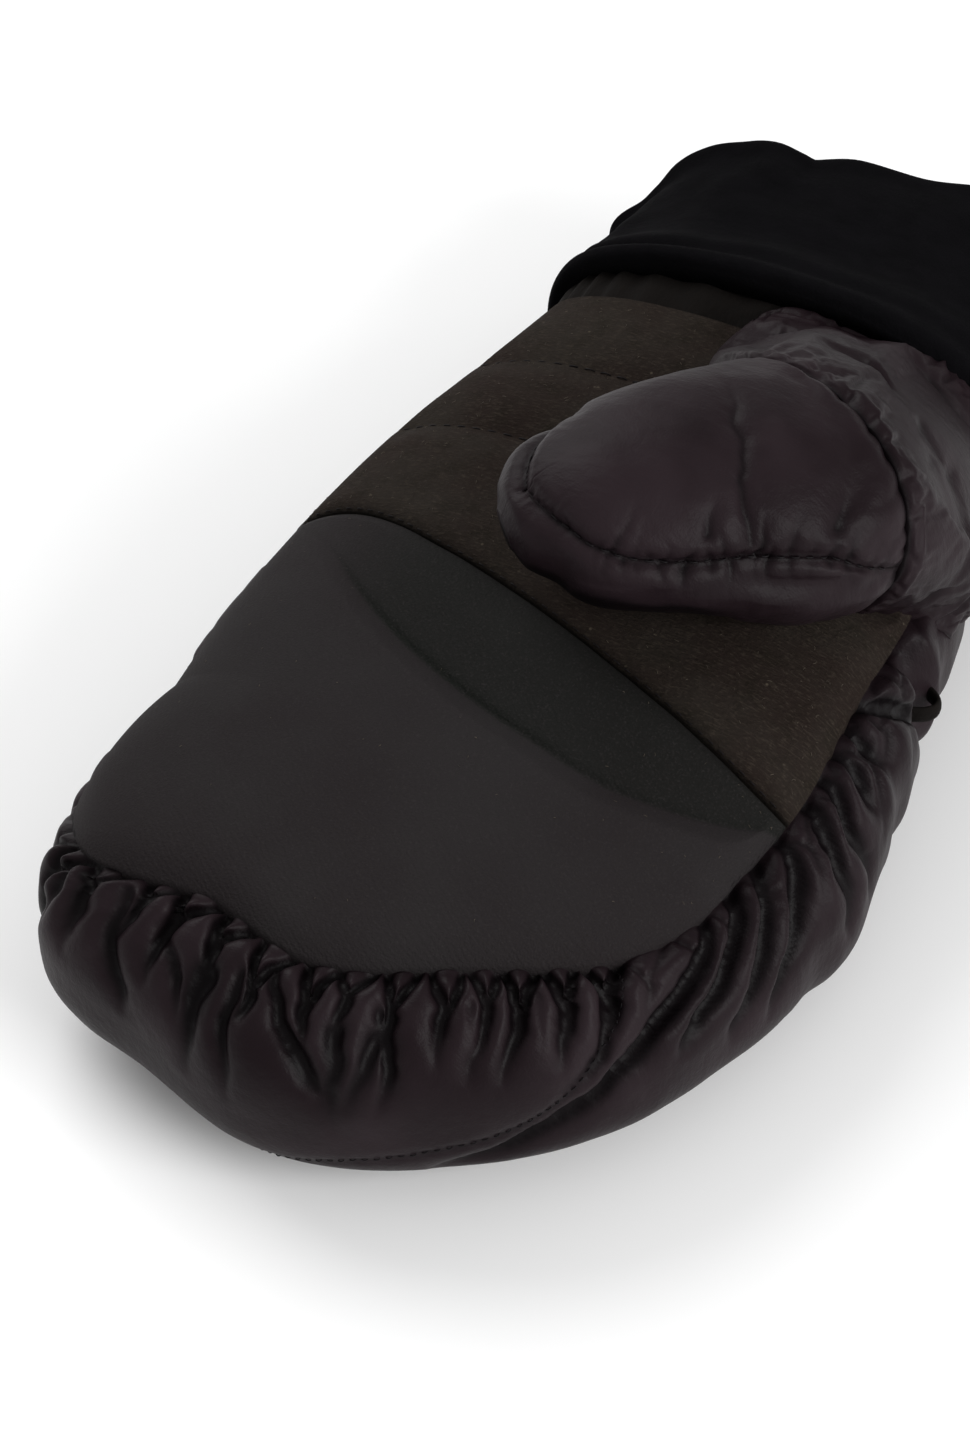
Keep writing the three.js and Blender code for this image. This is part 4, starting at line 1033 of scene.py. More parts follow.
def unit(vectors):
    return vectors / np.linalg.norm(vectors, axis=-1, keepdims=True)


def thumb_rings(along, degrees, inset=0.0):
    """Points on the thumb's rings: rows are places along it, columns turns round it."""
    along, turn = np.asarray(along), np.radians(degrees)
    ahead = thumb_middle(np.minimum(along + 0.02, THUMB_END))
    forward = unit(ahead - thumb_middle(np.maximum(along - 0.02, 0)))
    aside = unit(np.cross(forward, [0, 0, 1]))
    over = unit(np.cross(aside, forward))
    wide = np.maximum(THUMB_WIDTH / 2 * curve(THUMB_SECTIONS, along, 3) - inset, 0.3)
    high = np.maximum(THUMB_HEIGHT / 2 * curve(THUMB_SECTIONS, along, 4) - inset, 0.3)
    across = -wide[:, None] * np.cos(turn)[None, :]
    up = high[:, None] * np.sin(turn)[None, :]
    middle = thumb_middle(along)[:, None]
    return middle + aside[:, None] * across[..., None] + over[:, None] * up[..., None]


# %% [markdown]
# The seam leaves the thumb's sides before the tip and climbs over it, so that the under panel wraps the
# end. One table says how far it has turned up at each place. From it comes one line, from the base in
# front, round the tip, to the base behind; every point of the skin measures itself against that line.

# %% The thumb's seam
SEAM_RISE = np.array([  # along, turn of the seam in front, and behind, in degrees
    [0.33, -2, -2], [0.37, 4, 0], [0.437, 16, 2], [0.566, 14.5, 4], [0.697, 13.5, 8],
    [0.772, 17.5, 16], [0.816, 26, 25], [0.86, 34, 38], [0.9, 46, 62], [0.922, 66, 78], [0.932, 90, 90],
])
THUMB_RINGS, THUMB_TURNS = 66, 120
THUMB_START = BASE_SEAM + 0.002  # just ahead of the base seam


def towards_tip(count, crowd):
    """0 to 1 with points closer together at the end."""
    ease = np.linspace(0, 1, count)
    return mix(ease, np.sin(ease * np.pi / 2), crowd)


thumb_stops = mix(THUMB_START, THUMB_END, towards_tip(THUMB_RINGS, 0.75))
turns = np.linspace(0, 360, THUMB_TURNS + 1)


def ring_point(along, degrees):
    """One point on the thumb's smooth form for each pair of place and turn."""
    return np.stack([thumb_rings(np.array([a]), np.array([d]))[0, 0] for a, d in zip(along, degrees)])


seam_front = np.linspace(BASE_SEAM, LEAF_END, 150)
front_line = ring_point(seam_front, curve(SEAM_RISE, seam_front, 1))
behind_line = ring_point(seam_front[::-1], 180 - curve(SEAM_RISE, seam_front[::-1], 2))
thumb_seam = np.concatenate([front_line, behind_line[1:]])
seam_run = run_along(thumb_seam)


def to_thumb_seam(points):
    """Place along the thumb's seam and distance to it, in millimetres."""
    flat = points.reshape(-1, 3)
    best, place = np.full(len(flat), FAR_OFF), np.zeros(len(flat))
    for start in range(0, len(thumb_seam), 50):
        away = np.linalg.norm(flat[:, None] - thumb_seam[None, start : start + 50], axis=2)
        nearest = away.argmin(1)
        closer = away.min(1) < best
        best = np.minimum(best, away.min(1))
        place = np.where(closer, seam_run[start + nearest], place)
    return place.reshape(points.shape[:-1]), best.reshape(points.shape[:-1])


print(f"thumb seam: {seam_run[-1]:.0f} mm")

# %% [markdown]
# Two kinds of creases cross the thumb: short puckers that leave its seams, drawn at random, and a few
# that the photograph shows, drawn on the thumb's skin laid flat. They are the same kind of lines
# as the shell's, so the same function sinks them.

# %% Lines across the thumb
AROUND_PER_DEGREE = 0.42  # millimetres round the thumb for each degree of turn
BASE_ROUND = 360 * AROUND_PER_DEGREE
DRAWN_CREASES = [  # mm along, mm round, to mm along, mm round, depth at both ends, width
    [20.7, 47, 22.9, 36, 0.1, 0.5, 0.8], [22.9, 36, 26.4, 23.3, 0.5, 0.7, 0.8],
    [26.4, 23.3, 26.4, 10, 0.7, 0.5, 0.8], [31.9, 20.2, 34, 13, 0.1, 0.7, 1.3],
    [8.4, 21, 9.7, 13, 0.0, 0.8, 1.2],
]


def crossing(rows, u, v):
    """Depth and nearness of cusped creases on a small panel, where every point is measured."""
    return sunk_by(rows, u, v, soft=0.0, reach=np.inf, shallow=(0.7, 3))


def seam_puckers(long, seed):
    """Short creases that leave the seam: place, distance, place, distance, depths, width."""
    rng = np.random.default_rng(seed)
    rows, place = [], 1.0
    while place < long:
        reach, slant = rng.uniform(3, 12), rng.uniform(-1.8, 1.8)
        rows.append([place, 0, place + slant, reach, rng.uniform(0.35, 1.0), 0, 0.8])
        place += rng.uniform(2.4, 5.2)
    return rows


def base_puckers():
    """Short creases that leave the seam at the thumb's base, and the drawn ones."""
    rng = np.random.default_rng(12)
    rows, place = [], 0.0
    while place < BASE_ROUND:
        rows.append([0, place, rng.uniform(2, 7), place + rng.uniform(-2, 2), 0.4, 0, 0.9])
        place += rng.uniform(3.5, 8)
    return rows + DRAWN_CREASES


# %% The thumb's skin before it is filled
thumb_skin = thumb_rings(thumb_stops, turns)
thumb_out = normals_of(thumb_skin)
if np.sum(thumb_out * (thumb_skin - thumb_middle(thumb_stops)[:, None])) < 0:
    thumb_out = -thumb_out
ARC = 1.12  # how much longer the thumb's bent line is than its reach
along_mm = ((thumb_stops - BASE_SEAM) * THUMB_REACH * ARC)[:, None] + 0 * turns[None, :]
around_mm = turns[None, :] * AROUND_PER_DEGREE + 0 * along_mm
seam_place, seam_near = to_thumb_seam(thumb_skin)
on_top = (turns[None, :] > curve(SEAM_RISE, thumb_stops, 1)[:, None]) & (
    turns[None, :] < 180 - curve(SEAM_RISE, thumb_stops, 2)[:, None]
)


def thumb_sink(along, around, place, near, top, stops):
    """How deep the thumb's creases are, and how near the closest one at its base is."""
    wander = 0.8 * wobble(along, around, 4.5, 41)
    puckers = np.where(
        top,
        crossing(seam_puckers(seam_run[-1], 11), place + wander, near)[0],
        crossing(seam_puckers(seam_run[-1], 13), place + wander, 1.6 * near)[0],
    )
    base, base_near = crossing(base_puckers(), along + wander, around + wander)
    puckers = puckers * mix(1.0, 0.3, smooth((stops - 0.75) / 0.12))[:, None]
    return np.maximum(puckers, base), base_near


sink, base_near = thumb_sink(along_mm, around_mm, seam_place, seam_near, on_top, thumb_stops)
dip = 1.5 * (1 - np.clip(seam_near / 3.4, 0, 1)) ** 1.7
dip = np.maximum(dip, 1.3 * (1 - np.clip(along_mm / 3.0, 0, 1)) ** 1.6)
fade = smooth((THUMB_END - thumb_stops) / 0.03)[:, None]
calm = 1 - 0.8 * smooth((thumb_stops - 0.78) / 0.1)[:, None]
swell = 0.7 * (1 - np.exp(-np.minimum(base_near, seam_near + 1) / 2.6))
slack = calm * (0.3 * wobble(along_mm, around_mm, 11, 43) + 0.05 * wobble(along_mm, around_mm, 4, 44))
thumb_points = thumb_skin + thumb_out * ((swell + slack - 0.3 * sink) * fade - dip)[..., None]
thumb_points[:, -1] = thumb_points[:, 0]

# %% [markdown]
# The skin is filled like the shell's. Near the tip its points lie so close together that the solver
# leaves ripples of their size, so its shift is evened out there. Then the skin is refined, the bottoms of
# the creases are sunk, and a panel is cut out on either side of the seam.

# %% The thumb, filled
def evened(grid, times):
    """Every point drawn towards the middle of its neighbours; the columns close into a ring."""
    for _ in range(times):
        ring = grid[:, :-1]
        ring = (2 * ring + np.roll(ring, 1, 1) + np.roll(ring, -1, 1)) / 4
        ring = np.concatenate([ring[:1], (ring[:-2] + 2 * ring[1:-1] + ring[2:]) / 4, ring[-1:]])
        grid = np.concatenate([ring, ring[:, :1]], 1)
    return grid


thumb_held = np.maximum(np.clip(1 - seam_near / 1.8, 0, 1), np.clip(sink / 2.4, 0, 0.4)).round(2)
thumb_held[:2] = thumb_held[-3:] = 1
thumb_held = np.maximum(thumb_held, smooth((thumb_stops - 0.75) / 0.2)[:, None].round(2))
filled = filled_grid("thumb_skin", thumb_points, thumb_held, 2.0, flip=True, grow=0.015)
shift = filled - thumb_points
near_tip = smooth((thumb_stops - 0.5) / 0.2)[:, None, None]
thumb_points = thumb_points + mix(evened(shift, 1), evened(shift, 10), near_tip)
thumb_points[:, -1] = thumb_points[:, 0]
thumb_fine = refine(refine(thumb_points))

# %% The bottoms of the thumb's creases
all_stops = thumb_stops[:, None] + 0 * along_mm
coarse = np.stack([along_mm, around_mm, seam_near, seam_place, 1.0 * on_top, all_stops], 2)
fine_along, fine_around, fine_near, fine_run, fine_top, fine_stops = np.moveaxis(
    refine(refine(coarse)), 2, 0
)
fine_near, fine_stops = fine_near.clip(0), fine_stops[:, 0]
fine_sink, _ = thumb_sink(fine_along, fine_around, fine_run, fine_near, fine_top > 0.5, fine_stops)
sharp = 0.9 * fine_sink * smooth((THUMB_END - fine_stops) / 0.03)[:, None]
sharp_out = normals_of(thumb_fine)
sharp_out *= np.sign(np.sum(sharp_out[::4, ::4] * thumb_out))
thumb_fine = thumb_fine - sharp_out * sharp[..., None]
thumb_fine[:, -1] = thumb_fine[:, 0]
# painted shade in the thumb's creases and along its seams
thumb_painted_shade = np.maximum(np.clip(sharp / 0.7, 0, 1), 1 - np.minimum(fine_near, fine_along))
# painted shade under the thumb's tip, where its faces turn down towards the palm
underneath = smooth((-0.1 - sharp_out[..., 2]) / 0.35) * smooth((fine_stops - 0.5) / 0.2)[:, None]
thumb_painted_shade = np.maximum(thumb_painted_shade, underneath)[..., None]
print(f"thumb: {thumb_fine.shape[0]} rings of {thumb_fine.shape[1]} points")


# %% The thumb's two panels
def on_thumb(along, degrees, grid=thumb_fine):
    """Points of the filled skin at places along the thumb and turns round it."""
    row = np.interp(along, fine_stops, np.arange(len(fine_stops)))
    column = np.mod(degrees, 360) / 360 * 4 * THUMB_TURNS
    i = np.minimum(row.astype(int), len(thumb_fine) - 2)
    j = np.minimum(column.astype(int), 4 * THUMB_TURNS - 1)
    s, t = (row - i)[..., None], (column - j)[..., None]
    first = mix(grid[i, j], grid[i, j + 1], t)
    return mix(first, mix(grid[i + 1, j], grid[i + 1, j + 1], t), s)


def thumb_panel(name, node, over, rows, columns):
    """One panel between the seam's two sides, over or under, with its lining."""
    end = LEAF_END if over else THUMB_END
    stops = THUMB_START + (end - BASE_SEAM - 0.002) * towards_tip(rows, 0.8)

    def span(at, count):
        rise = [np.where(at >= LEAF_END, 90.0, curve(SEAM_RISE, at, k))[:, None] for k in (1, 2)]
        low, high = (rise[0], 180 - rise[1]) if over else (180 - rise[1], 360 + rise[0])
        return mix(low, high, np.linspace(0, 1, count)[None, :])

    degrees = span(stops, columns)
    outer = on_thumb(stops[:, None] + 0 * degrees, degrees)
    # the thumb's painted shade, read at the panel's points
    folds = on_thumb(stops[:, None] + 0 * degrees, degrees, thumb_painted_shade)
    inner_stops = np.linspace(BASE_SEAM, end - 0.09, 9)
    inner_degrees = span(inner_stops, 17)
    inner = np.stack([
        thumb_rings(np.array([at]), row, inset=5.0)[0] for at, row in zip(inner_stops, inner_degrees)
    ])
    if not over:
        outer[-1] = outer[-1].mean(0)
    inner[-1] = inner[-1].mean(0)
    made = piece(name, *closed_panel(outer, inner), nylon, "shell_nylon", node, folds)


thumb_panel("thumb_over_nylon", "thumb_top", True, 180, 150)
thumb_panel("thumb_under_nylon", "thumb_under", False, 170, 150)

# %% [markdown]
# ## The heel of the thumb
# Between the thumb's base seam and the cuff the nylon lies over the edge of the palm. Its skin continues
# the thumb's rings; where a ring would dive into the hand it is laid just under the felt instead, so the
# heel is a cushion sewn onto the palm.

# %% The heel's two edges
HEEL_COLUMNS, HEEL_ROWS, HEEL_WALL, HEEL_ROUND = 116, 44, 4.0, 130
seam_turns = np.linspace(228, -62, HEEL_COLUMNS)
base_ring = thumb_rings(np.array([BASE_SEAM - 0.003, BASE_SEAM - 0.04]), seam_turns)
heel_start, heel_behind = base_ring
HEEL_EDGE = np.array([  # share of the way, x, y, z: from the felt, along the cuff, round the side
    [0, -6.5, 175, 50.5], [0.1, -6, 185, 50], [0.19, -4, 191.5, 51], [0.28, 2, 195.5, 53],
    [0.42, 20, 198, 51.5], [0.55, 38, 198, 49], [0.67, 48.5, 194, 42], [0.78, 53.5, 182, 33.5],
    [0.88, 56.5, 166, 29.5], [1, 56, 147, 29.5],
])
share_round = np.linspace(0, 1, HEEL_COLUMNS)
heel_edge = np.stack([curve(HEEL_EDGE, share_round, k) for k in (1, 2, 3)], 1)


def heel_sheet():
    """The heel's skin between the thumb's base seam and its outer edge, on soft bends."""
    leave = unit(heel_behind - heel_start)
    out = unit(heel_start - thumb_middle(np.array([BASE_SEAM]))[0])
    over_top = np.clip(np.sin(np.pi * share_round), 0, 1)[:, None]
    first = heel_start + leave * (5 + 5 * over_top) + out * 0.8
    rise = np.array([0, 0, 1.0]) * (0.5 + 1.0 * over_top) + leave * -5.0
    side = smooth((share_round - 0.6) / 0.25)[:, None]
    last = heel_edge + rise * (1 - 0.7 * side) + np.array([9.0, 0, 6.0]) * side
    t = np.linspace(0, 1, HEEL_ROWS)[None, :, None]
    return (
        (1 - t) ** 3 * heel_start[:, None] + 3 * t * (1 - t) ** 2 * first[:, None]
        + 3 * t**2 * (1 - t) * last[:, None] + t**3 * heel_edge[:, None]
    )


heel_skin = heel_sheet()
heel_outwards = normals_of(heel_skin)
if heel_outwards[HEEL_COLUMNS // 2, 8, 2] < 0:
    heel_outwards = -heel_outwards
heel_lining = (heel_skin - heel_outwards * HEEL_WALL)[::5, ::4]
heel_low, heel_high = heel_skin.min((0, 1)), heel_skin.max((0, 1))
print("heel from", heel_low.round(0), "to", heel_high.round(0))

# %% [markdown]
# The heel is slack: puckers leave both of its seams and a few soft folds lie between them. It is drawn,
# filled and sharpened in the same three steps as the shell.

# %% The heel's creases
def heel_creases(long, wide):
    rng = np.random.default_rng(19)
    rows, place = [], 0.0
    while place < wide:
        reach = rng.uniform(4, 10)
        rows.append([0, place, reach, place + rng.uniform(-3, 3), rng.uniform(0.2, 0.5), 0, 0.9])
        reach = rng.uniform(5, 14)
        rows.append([
            long, place, long - reach, place + rng.uniform(-3, 3), rng.uniform(0.5, 1.2), 0, 1.5,
        ])
        place += rng.uniform(4.0, 8.5)
    for _ in range(9):
        u0, v0 = rng.uniform(12, long - 10), rng.uniform(0.3, 0.9) * wide
        u1, v1 = u0 + rng.uniform(-3, 5), v0 + rng.uniform(9, 16)
        rows.append([u0, v0, u1, v1, rng.uniform(0.5, 1.1), 0, 1.9])
    return rows


steps = np.linalg.norm(np.diff(heel_skin, axis=1), axis=2)
heel_u = np.concatenate([np.zeros((HEEL_COLUMNS, 1)), np.cumsum(steps, axis=1)], 1)
heel_long = float(np.median(heel_u[:, -1]))
heel_u *= heel_long / heel_u[:, -1:]
heel_v = HEEL_ROUND * share_round[:, None] + 0 * heel_u
stray = wobble(heel_u, heel_v, 6, 51)
sink, near = crossing(heel_creases(heel_long, HEEL_ROUND), heel_u + 1.3 * stray, heel_v + stray)
dip = 1.6 * (1 - np.clip(heel_u / 3.0, 0, 1)) ** 1.5
dip = dip + 1.2 * (1 - np.clip((heel_long - heel_u) / 4, 0, 1)) ** 1.5
relief = 0.6 * (1 - np.exp(-near / 2.4)) + 0.4 * wobble(heel_u, heel_v, 11, 53) - sink - dip
heel_points = heel_skin + heel_outwards * (relief + 0.4 * sink)[..., None]
print(f"heel: {heel_long:.0f} mm from seam to seam, relief {relief.min():.1f} to {relief.max():.1f} mm")

# %% The heel, filled and closed
heel_held = np.zeros(heel_points.shape[:2])
heel_held[:, :2] = heel_held[:, -2:] = heel_held[:2] = heel_held[-2:] = 1
heel_points = filled_grid("heel_skin", heel_points, heel_held, 2.0)
heel_fine = refine(heel_points)
heel_sharp, from_thumb = np.moveaxis(refine(np.stack([0.7 * sink, heel_u], 2)), 2, 0)
fine_out = normals_of(heel_fine)
fine_out *= np.sign(np.sum(fine_out * refine(heel_outwards)))
heel_fine = heel_fine - fine_out * heel_sharp.clip(0)[..., None]
# painted shade in the heel's creases and along its seam with the thumb
heel_painted_shade = np.clip(np.maximum(heel_sharp / 0.8, 1 - from_thumb), 0, 1)
heel = piece(
    "thumb_heel_nylon", *closed_panel(heel_fine, heel_lining), nylon, "shell_nylon", "thumb_heel",
    heel_painted_shade,
)

# %% [markdown]
# ## The wrist: gathered band and brushed cuff
# Inside the cuff an elastic band gathers the hand's wrist into small pleats; only its edge shows between
# the felt and the cuff. The cuff is a wide soft tube whose hand edge is rolled, and whose far edge waves.

# %% The band and the cuff
CUFF_START, CUFF_WALL, CUFF_LENGTH = HAND_LENGTH + 1.6, 4.0, 56.0
CUFF_SECTIONS = np.array([  # at, left, right, top: how far it stands out, as shares of its wall
    [0, -0.45, 0.6, 0.2], [0.06, 0.1, 1, 0.8], [0.16, 0.2, 1.2, 1], [0.35, -0.5, 1.1, 0.5],
    [0.55, -0.8, 1.2, 0.3], [0.8, -0.7, 1.5, 0.3], [1, -0.5, 1.8, -0.2],
])
wrist_half = float(right_edge(HAND_LENGTH) - left_edge(HAND_LENGTH)) / 2
wrist_high = float(crown(HAND_LENGTH)) - EQUATOR


def wrist_rings(y, left, right, top, under, turn):
    """Rings of the wrist's own section, moved outwards by a margin on each side."""
    upper = np.sin(turn) > 0
    power = 2 / np.where(upper, TOP_POWER, BOTTOM_POWER)
    across = np.sign(np.cos(turn)) * np.abs(np.cos(turn)) ** power
    up = np.abs(np.sin(turn)) ** power
    wide = wrist_half + np.where(across < 0, left, right)
    high = np.where(upper, wrist_high + top, -(EQUATOR + under))
    parts = np.broadcast_arrays(wrist_middle + across * wide, y, EQUATOR + up * high)
    return np.stack(parts, -1)


def even_turns(count):
    """Turns round the wrist's section that give evenly spaced points."""
    dense = np.linspace(0, 2 * np.pi, 4001)
    ring = wrist_rings(0 * dense, 0, 0, 0, 0, dense)
    run = run_along(ring)
    return np.interp(np.linspace(0, run[-1], count), run, dense), run[-1]


ring_turns, ring_long = even_turns(221)
END_SLANT, END_WAVE = 15, 3  # mm that the far edge slants towards one side, and waves
CUFF_TURNS = np.array([  # turn in degrees, lift of the hand edge, its shift towards the wrist
    [0, 1, 5], [25, 5.5, 5], [50, 4, 4.5], [80, 6.5, 4.5], [100, 4.5, 6], [130, 1.6, 8],
    [160, 0, 11], [185, 0, 10], [215, 0, 8], [340, 0, 4], [360, 1, 5],
])
CUFF_END = np.array([  # turn in degrees, lift of the far edge
    [0, 3], [35, 4.5], [60, 4.5], [78, 2.5], [84, 1.7], [91.5, 0.8], [97, -1.2], [100.8, -2],
    [104, -0.6], [110, 1.2], [120, 0.6], [132, -0.8], [150, -3], [170, -2], [190, 0], [330, 0], [360, 3],
])


def cuff_rings(at, inset):
    at, turn = np.asarray(at)[:, None], ring_turns[None, :]
    margin = lambda k: CUFF_WALL * curve(CUFF_SECTIONS, at, k) - inset
    back = (1 - at) ** 3 * curve(CUFF_TURNS, np.degrees(turn), 2)
    y = CUFF_START + CUFF_LENGTH * at + END_SLANT * at * np.cos(turn)
    y = y + END_WAVE * at**2 * np.sin(3 * turn + 1)
    ring = wrist_rings(y + back, margin(1), margin(2), margin(3), -inset + 0 * turn, turn)
    ring[..., 2] += curve(CUFF_TURNS, np.degrees(turn), 1) * (1 - smooth(at / 0.45))
    ring[..., 2] += curve(CUFF_END, np.degrees(turn), 1) * smooth((at - 0.5) / 0.45)
    return ring


# %% The cuff's cloth
cuff_at = np.concatenate([np.linspace(0, 0.12, 22), np.linspace(0.12, 1, 62)[1:]])
cuff_outer = cuff_rings(cuff_at, 0.0)
cuff_out = normals_of(cuff_outer)
if np.sum(cuff_out[..., 0] * (cuff_outer[..., 0] - wrist_middle)) < 0:
    cuff_out = -cuff_out
cuff_v = (cuff_at * CUFF_LENGTH)[:, None] + 0 * ring_turns[None, :]
cuff_u = ring_turns[None, :] / (2 * np.pi) * ring_long + 0 * cuff_v
# the hand edge is rolled, with a hollow behind it, and the far edge is hemmed
lip = np.exp(-(((cuff_v - 2.4) / 2.3) ** 2)) - 0.75 * np.exp(-(((cuff_v - 7.5) / 2.4) ** 2))
lip += 0.8 * np.exp(-(((cuff_v - CUFF_LENGTH + 1.8) / 2.0) ** 2))
on_left = 0.5 - 0.5 * np.cos(ring_turns)[None, :]
folds = 1.6 * wobble(cuff_u, cuff_v * 0.55, 17, 61) + 0.7 * wobble(cuff_u, cuff_v, 8, 62)
settled = np.clip(cuff_outer[..., 2] / 6, 0, 1) * smooth(cuff_v / 12)
cuff_relief = lip * (0.6 + 1.9 * on_left) + folds * settled
cuff_outer = cuff_outer + cuff_out * cuff_relief[..., None]
cuff_outer[..., 2] = np.maximum(cuff_outer[..., 2], 0.0)
cuff_inner = cuff_rings(np.linspace(0, 1, 14), CUFF_WALL)
for grid in (cuff_outer, cuff_inner):
    grid[:, -1] = grid[:, 0]
cuff = piece(
    "cuff_fleece", *closed_panel(cuff_outer, cuff_inner, edges=0), fleece, "cuff_knit", "cuff"
)

# %% [markdown]
# The band is a ring of the same section, drawn in by its elastic. A wave round it makes the pleats; a
# slower wave shifts them, so that they aren't all the same width.

# %% The gathered band
BAND_INSIDE = -10.6  # how far its inner face stands out from the wrist's section
PLEATS, PLEAT_HEIGHT = 31, 0.45
band_turns = even_turns(361)[0]
band_y = np.linspace(HAND_LENGTH - 3.0, HAND_LENGTH + 25.0, 30)[:, None]
pleat_turns = band_turns * PLEATS + 1.2 * np.sin(5 * band_turns)
pleats = PLEAT_HEIGHT * np.cos(pleat_turns)[None, :] * (1 + 0 * band_y)
band_margin = pleats - mix(2.0, 4.6, smooth((band_y - HAND_LENGTH - 8) / 12))
band_outer = wrist_rings(band_y + 0 * pleats, *[band_margin] * 4, band_turns[None, :])
band_inner = wrist_rings(band_y + 0 * pleats, *[BAND_INSIDE + 0 * pleats] * 4, band_turns[None, :])
band_lift = 0.7 * curve(CUFF_TURNS, np.degrees(band_turns)[None, :], 1)
for grid in (band_outer, band_inner):
    grid[..., 2] += band_lift * smooth((band_y - HAND_LENGTH + 1) / 7)
    grid[:, -1] = grid[:, 0]
piece(
    "wrist_band_elastic", *closed_panel(band_outer, band_inner, edges=0), elastic,
    "band_elastic", "wrist_band",
)

# %% [markdown]
# ## Threads
# A seam reads as sewn when its stitches are real. Each stitch is a short thread that rises out of the
# cloth, lies on it and dives back in. One function lays stitches along any line of points.


# %% A thread
def tube(line, radius, sides=6):
    """Points and faces of a thread along a line, closed at both ends."""
    forward = unit(np.gradient(line, axis=0))
    aside = unit(np.cross(forward, [0.13, 0.21, 1.0]))
    over = np.cross(aside, forward)
    turn = np.linspace(0, 2 * np.pi, sides, endpoint=False)
    radius = np.broadcast_to(radius, len(line))[:, None, None]
    ring = aside[:, None] * np.cos(turn)[None, :, None] + over[:, None] * np.sin(turn)[None, :, None]
    points = (line[:, None] + ring * radius).reshape(-1, 3)
    faces = []
    for i in range(len(line) - 1):
        for k in range(sides):
            a, b = i * sides + k, i * sides + (k + 1) % sides
            faces.append([a, b, b + sides, a + sides])
    last = (len(line) - 1) * sides
    faces += [list(range(sides))[::-1], [last + k for k in range(sides)]]
    return points, faces


def joined(parts):
    points, faces, start = [], [], 0
    for part_points, part_faces in parts:
        points.append(part_points)
        faces += [[v + start for v in face] for face in part_faces]
        start += len(part_points)
    return np.concatenate(points), faces


# %% A row of stitches
STITCH_ARCH = np.array([-0.45, 0.12, 0.24, 0.24, 0.12, -0.45])  # mm off the cloth, along a stitch
STITCH_TAPER = np.array([0.7, 1, 1, 1, 1, 0.7])


def stitches(name, line, out, long, gap, radius, slot_name="shell_nylon"):
    """A row of stitches along a line; out is the way off the cloth at each of its points."""
    run = run_along(line)
    parts = []
    for start in np.arange(gap, run[-1] - long, long + gap):
        at = start + np.linspace(0, long, len(STITCH_ARCH))
        middle = np.stack([np.interp(at, run, line[:, k]) for k in range(3)], 1)
        rise = np.stack([np.interp(at, run, out[:, k]) for k in range(3)], 1)
        parts.append(tube(middle + unit(rise) * STITCH_ARCH[:, None], STITCH_TAPER * radius))
    piece(name, *joined(parts), thread, slot_name)


def palm_line(x, y, step=0.6):
    """Points of the palm and the way off it, from its slope over a small step."""
    line = palm_surface(x, y)
    ahead, aside = palm_surface(x + step, y), palm_surface(x, y + step)
    return line, unit(np.cross(ahead - line, aside - line))


# %% The stitches of the palm and the thumb
share = np.linspace(0.012, 0.988, 240)
mid_y = middle_seam(share)
mid_x = mix(seam_x(mid_y, -1), seam_x(mid_y, 1), share)
line, out = palm_line(mid_x, mid_y + 0.9)
stitches("middle_seam_stitches", line, out, 1.8, 0.9, 0.11, "palm_felt")
for number, (from_left, from_right, _) in enumerate(PALM_LINES):
    line_y = HAND_LENGTH * mix(from_left, from_right, share)
    line_x = mix(seam_x(line_y, -1), seam_x(line_y, 1), share)
    line, out = palm_line(line_x, line_y)
    stitches(f"palm_channel_stitches_{number + 1}", line, out, 2.6, 1.0, 0.15, "palm_felt")

seam_stops = np.linspace(BASE_SEAM + 0.02, LEAF_END - 0.01, 200)
for name, rise in (
    ("front", curve(SEAM_RISE, seam_stops, 1)), ("behind", 180 - curve(SEAM_RISE, seam_stops, 2))
):
    line = on_thumb(seam_stops, rise)
    out = line - thumb_middle(seam_stops)
    stitches(f"thumb_seam_stitches_{name}", line, out, 2.0, 0.9, 0.17)

# %% [markdown]
# The lower front of the shell carries one more topstitched line, seen between the long folds.

# %% The topstitched line on the shell
def on_shell(along, down):
    """Points and outward directions on the fine shell, at places along its rim and down from it."""
    columns = np.interp(along * SEAM_LONG, RIM["run"], np.arange(len(RIM["run"]))) * 2
    out_grid = normals_of(shell_fine, flip=True)
    points, outs = [], []
    for column, mm in zip(columns, down):
        i = int(round(column))
        row = np.interp(mm, shell_down[min(i // 2, len(shell_down) - 1)], np.arange(SHELL_ROWS)) * 2
        j, t = int(row), row - int(row)
        points.append(mix(shell_fine[i, j], shell_fine[i, j + 1], t))
        outs.append(out_grid[i, j])
    return np.array(points), np.array(outs)


steps = np.linspace(0, 8, 240)
line, out = on_shell(curve(STITCH_TABLE, steps, 1), curve(STITCH_TABLE, steps, 2))
stitches("shell_front_stitches", line, out, 1.5, 0.7, 0.12)

# %% [markdown]
# ## The side loop and the lint
# A small tape loop stands in the side seam below the thumb. The felt and the softshell hold pale lint:
# short curved hairs, thinner than a tenth of a millimetre, scattered by seed.

# %% The side loop
LOOP_FORWARD, LOOP_LONG, LOOP_WIDE, LOOP_HEIGHT = 132.0, 8.0, 4.0, 27.0
LOOP_POINTS, TAPE_SIDES, TAPE_RADIUS = 25, 16, 0.8
loop_turn = np.linspace(-0.5, 0.5, LOOP_POINTS) * np.pi
loop_x = float(right_edge(LOOP_FORWARD)) - 7 + 8 * np.cos(loop_turn)
loop_line = np.stack([
    loop_x, LOOP_FORWARD + LOOP_LONG / 2 * np.sin(loop_turn), np.full(LOOP_POINTS, LOOP_HEIGHT),
], 1)
loop_points, loop_faces = tube(loop_line, TAPE_RADIUS, TAPE_SIDES)
loop_middle = np.repeat(loop_line, TAPE_SIDES, axis=0)
away = loop_points - loop_middle
away[:, 2] *= LOOP_WIDE / (2 * TAPE_RADIUS)
loop_points = loop_middle + away
piece("side_loop_tape", loop_points, loop_faces, elastic, "band_elastic", "side_tab")


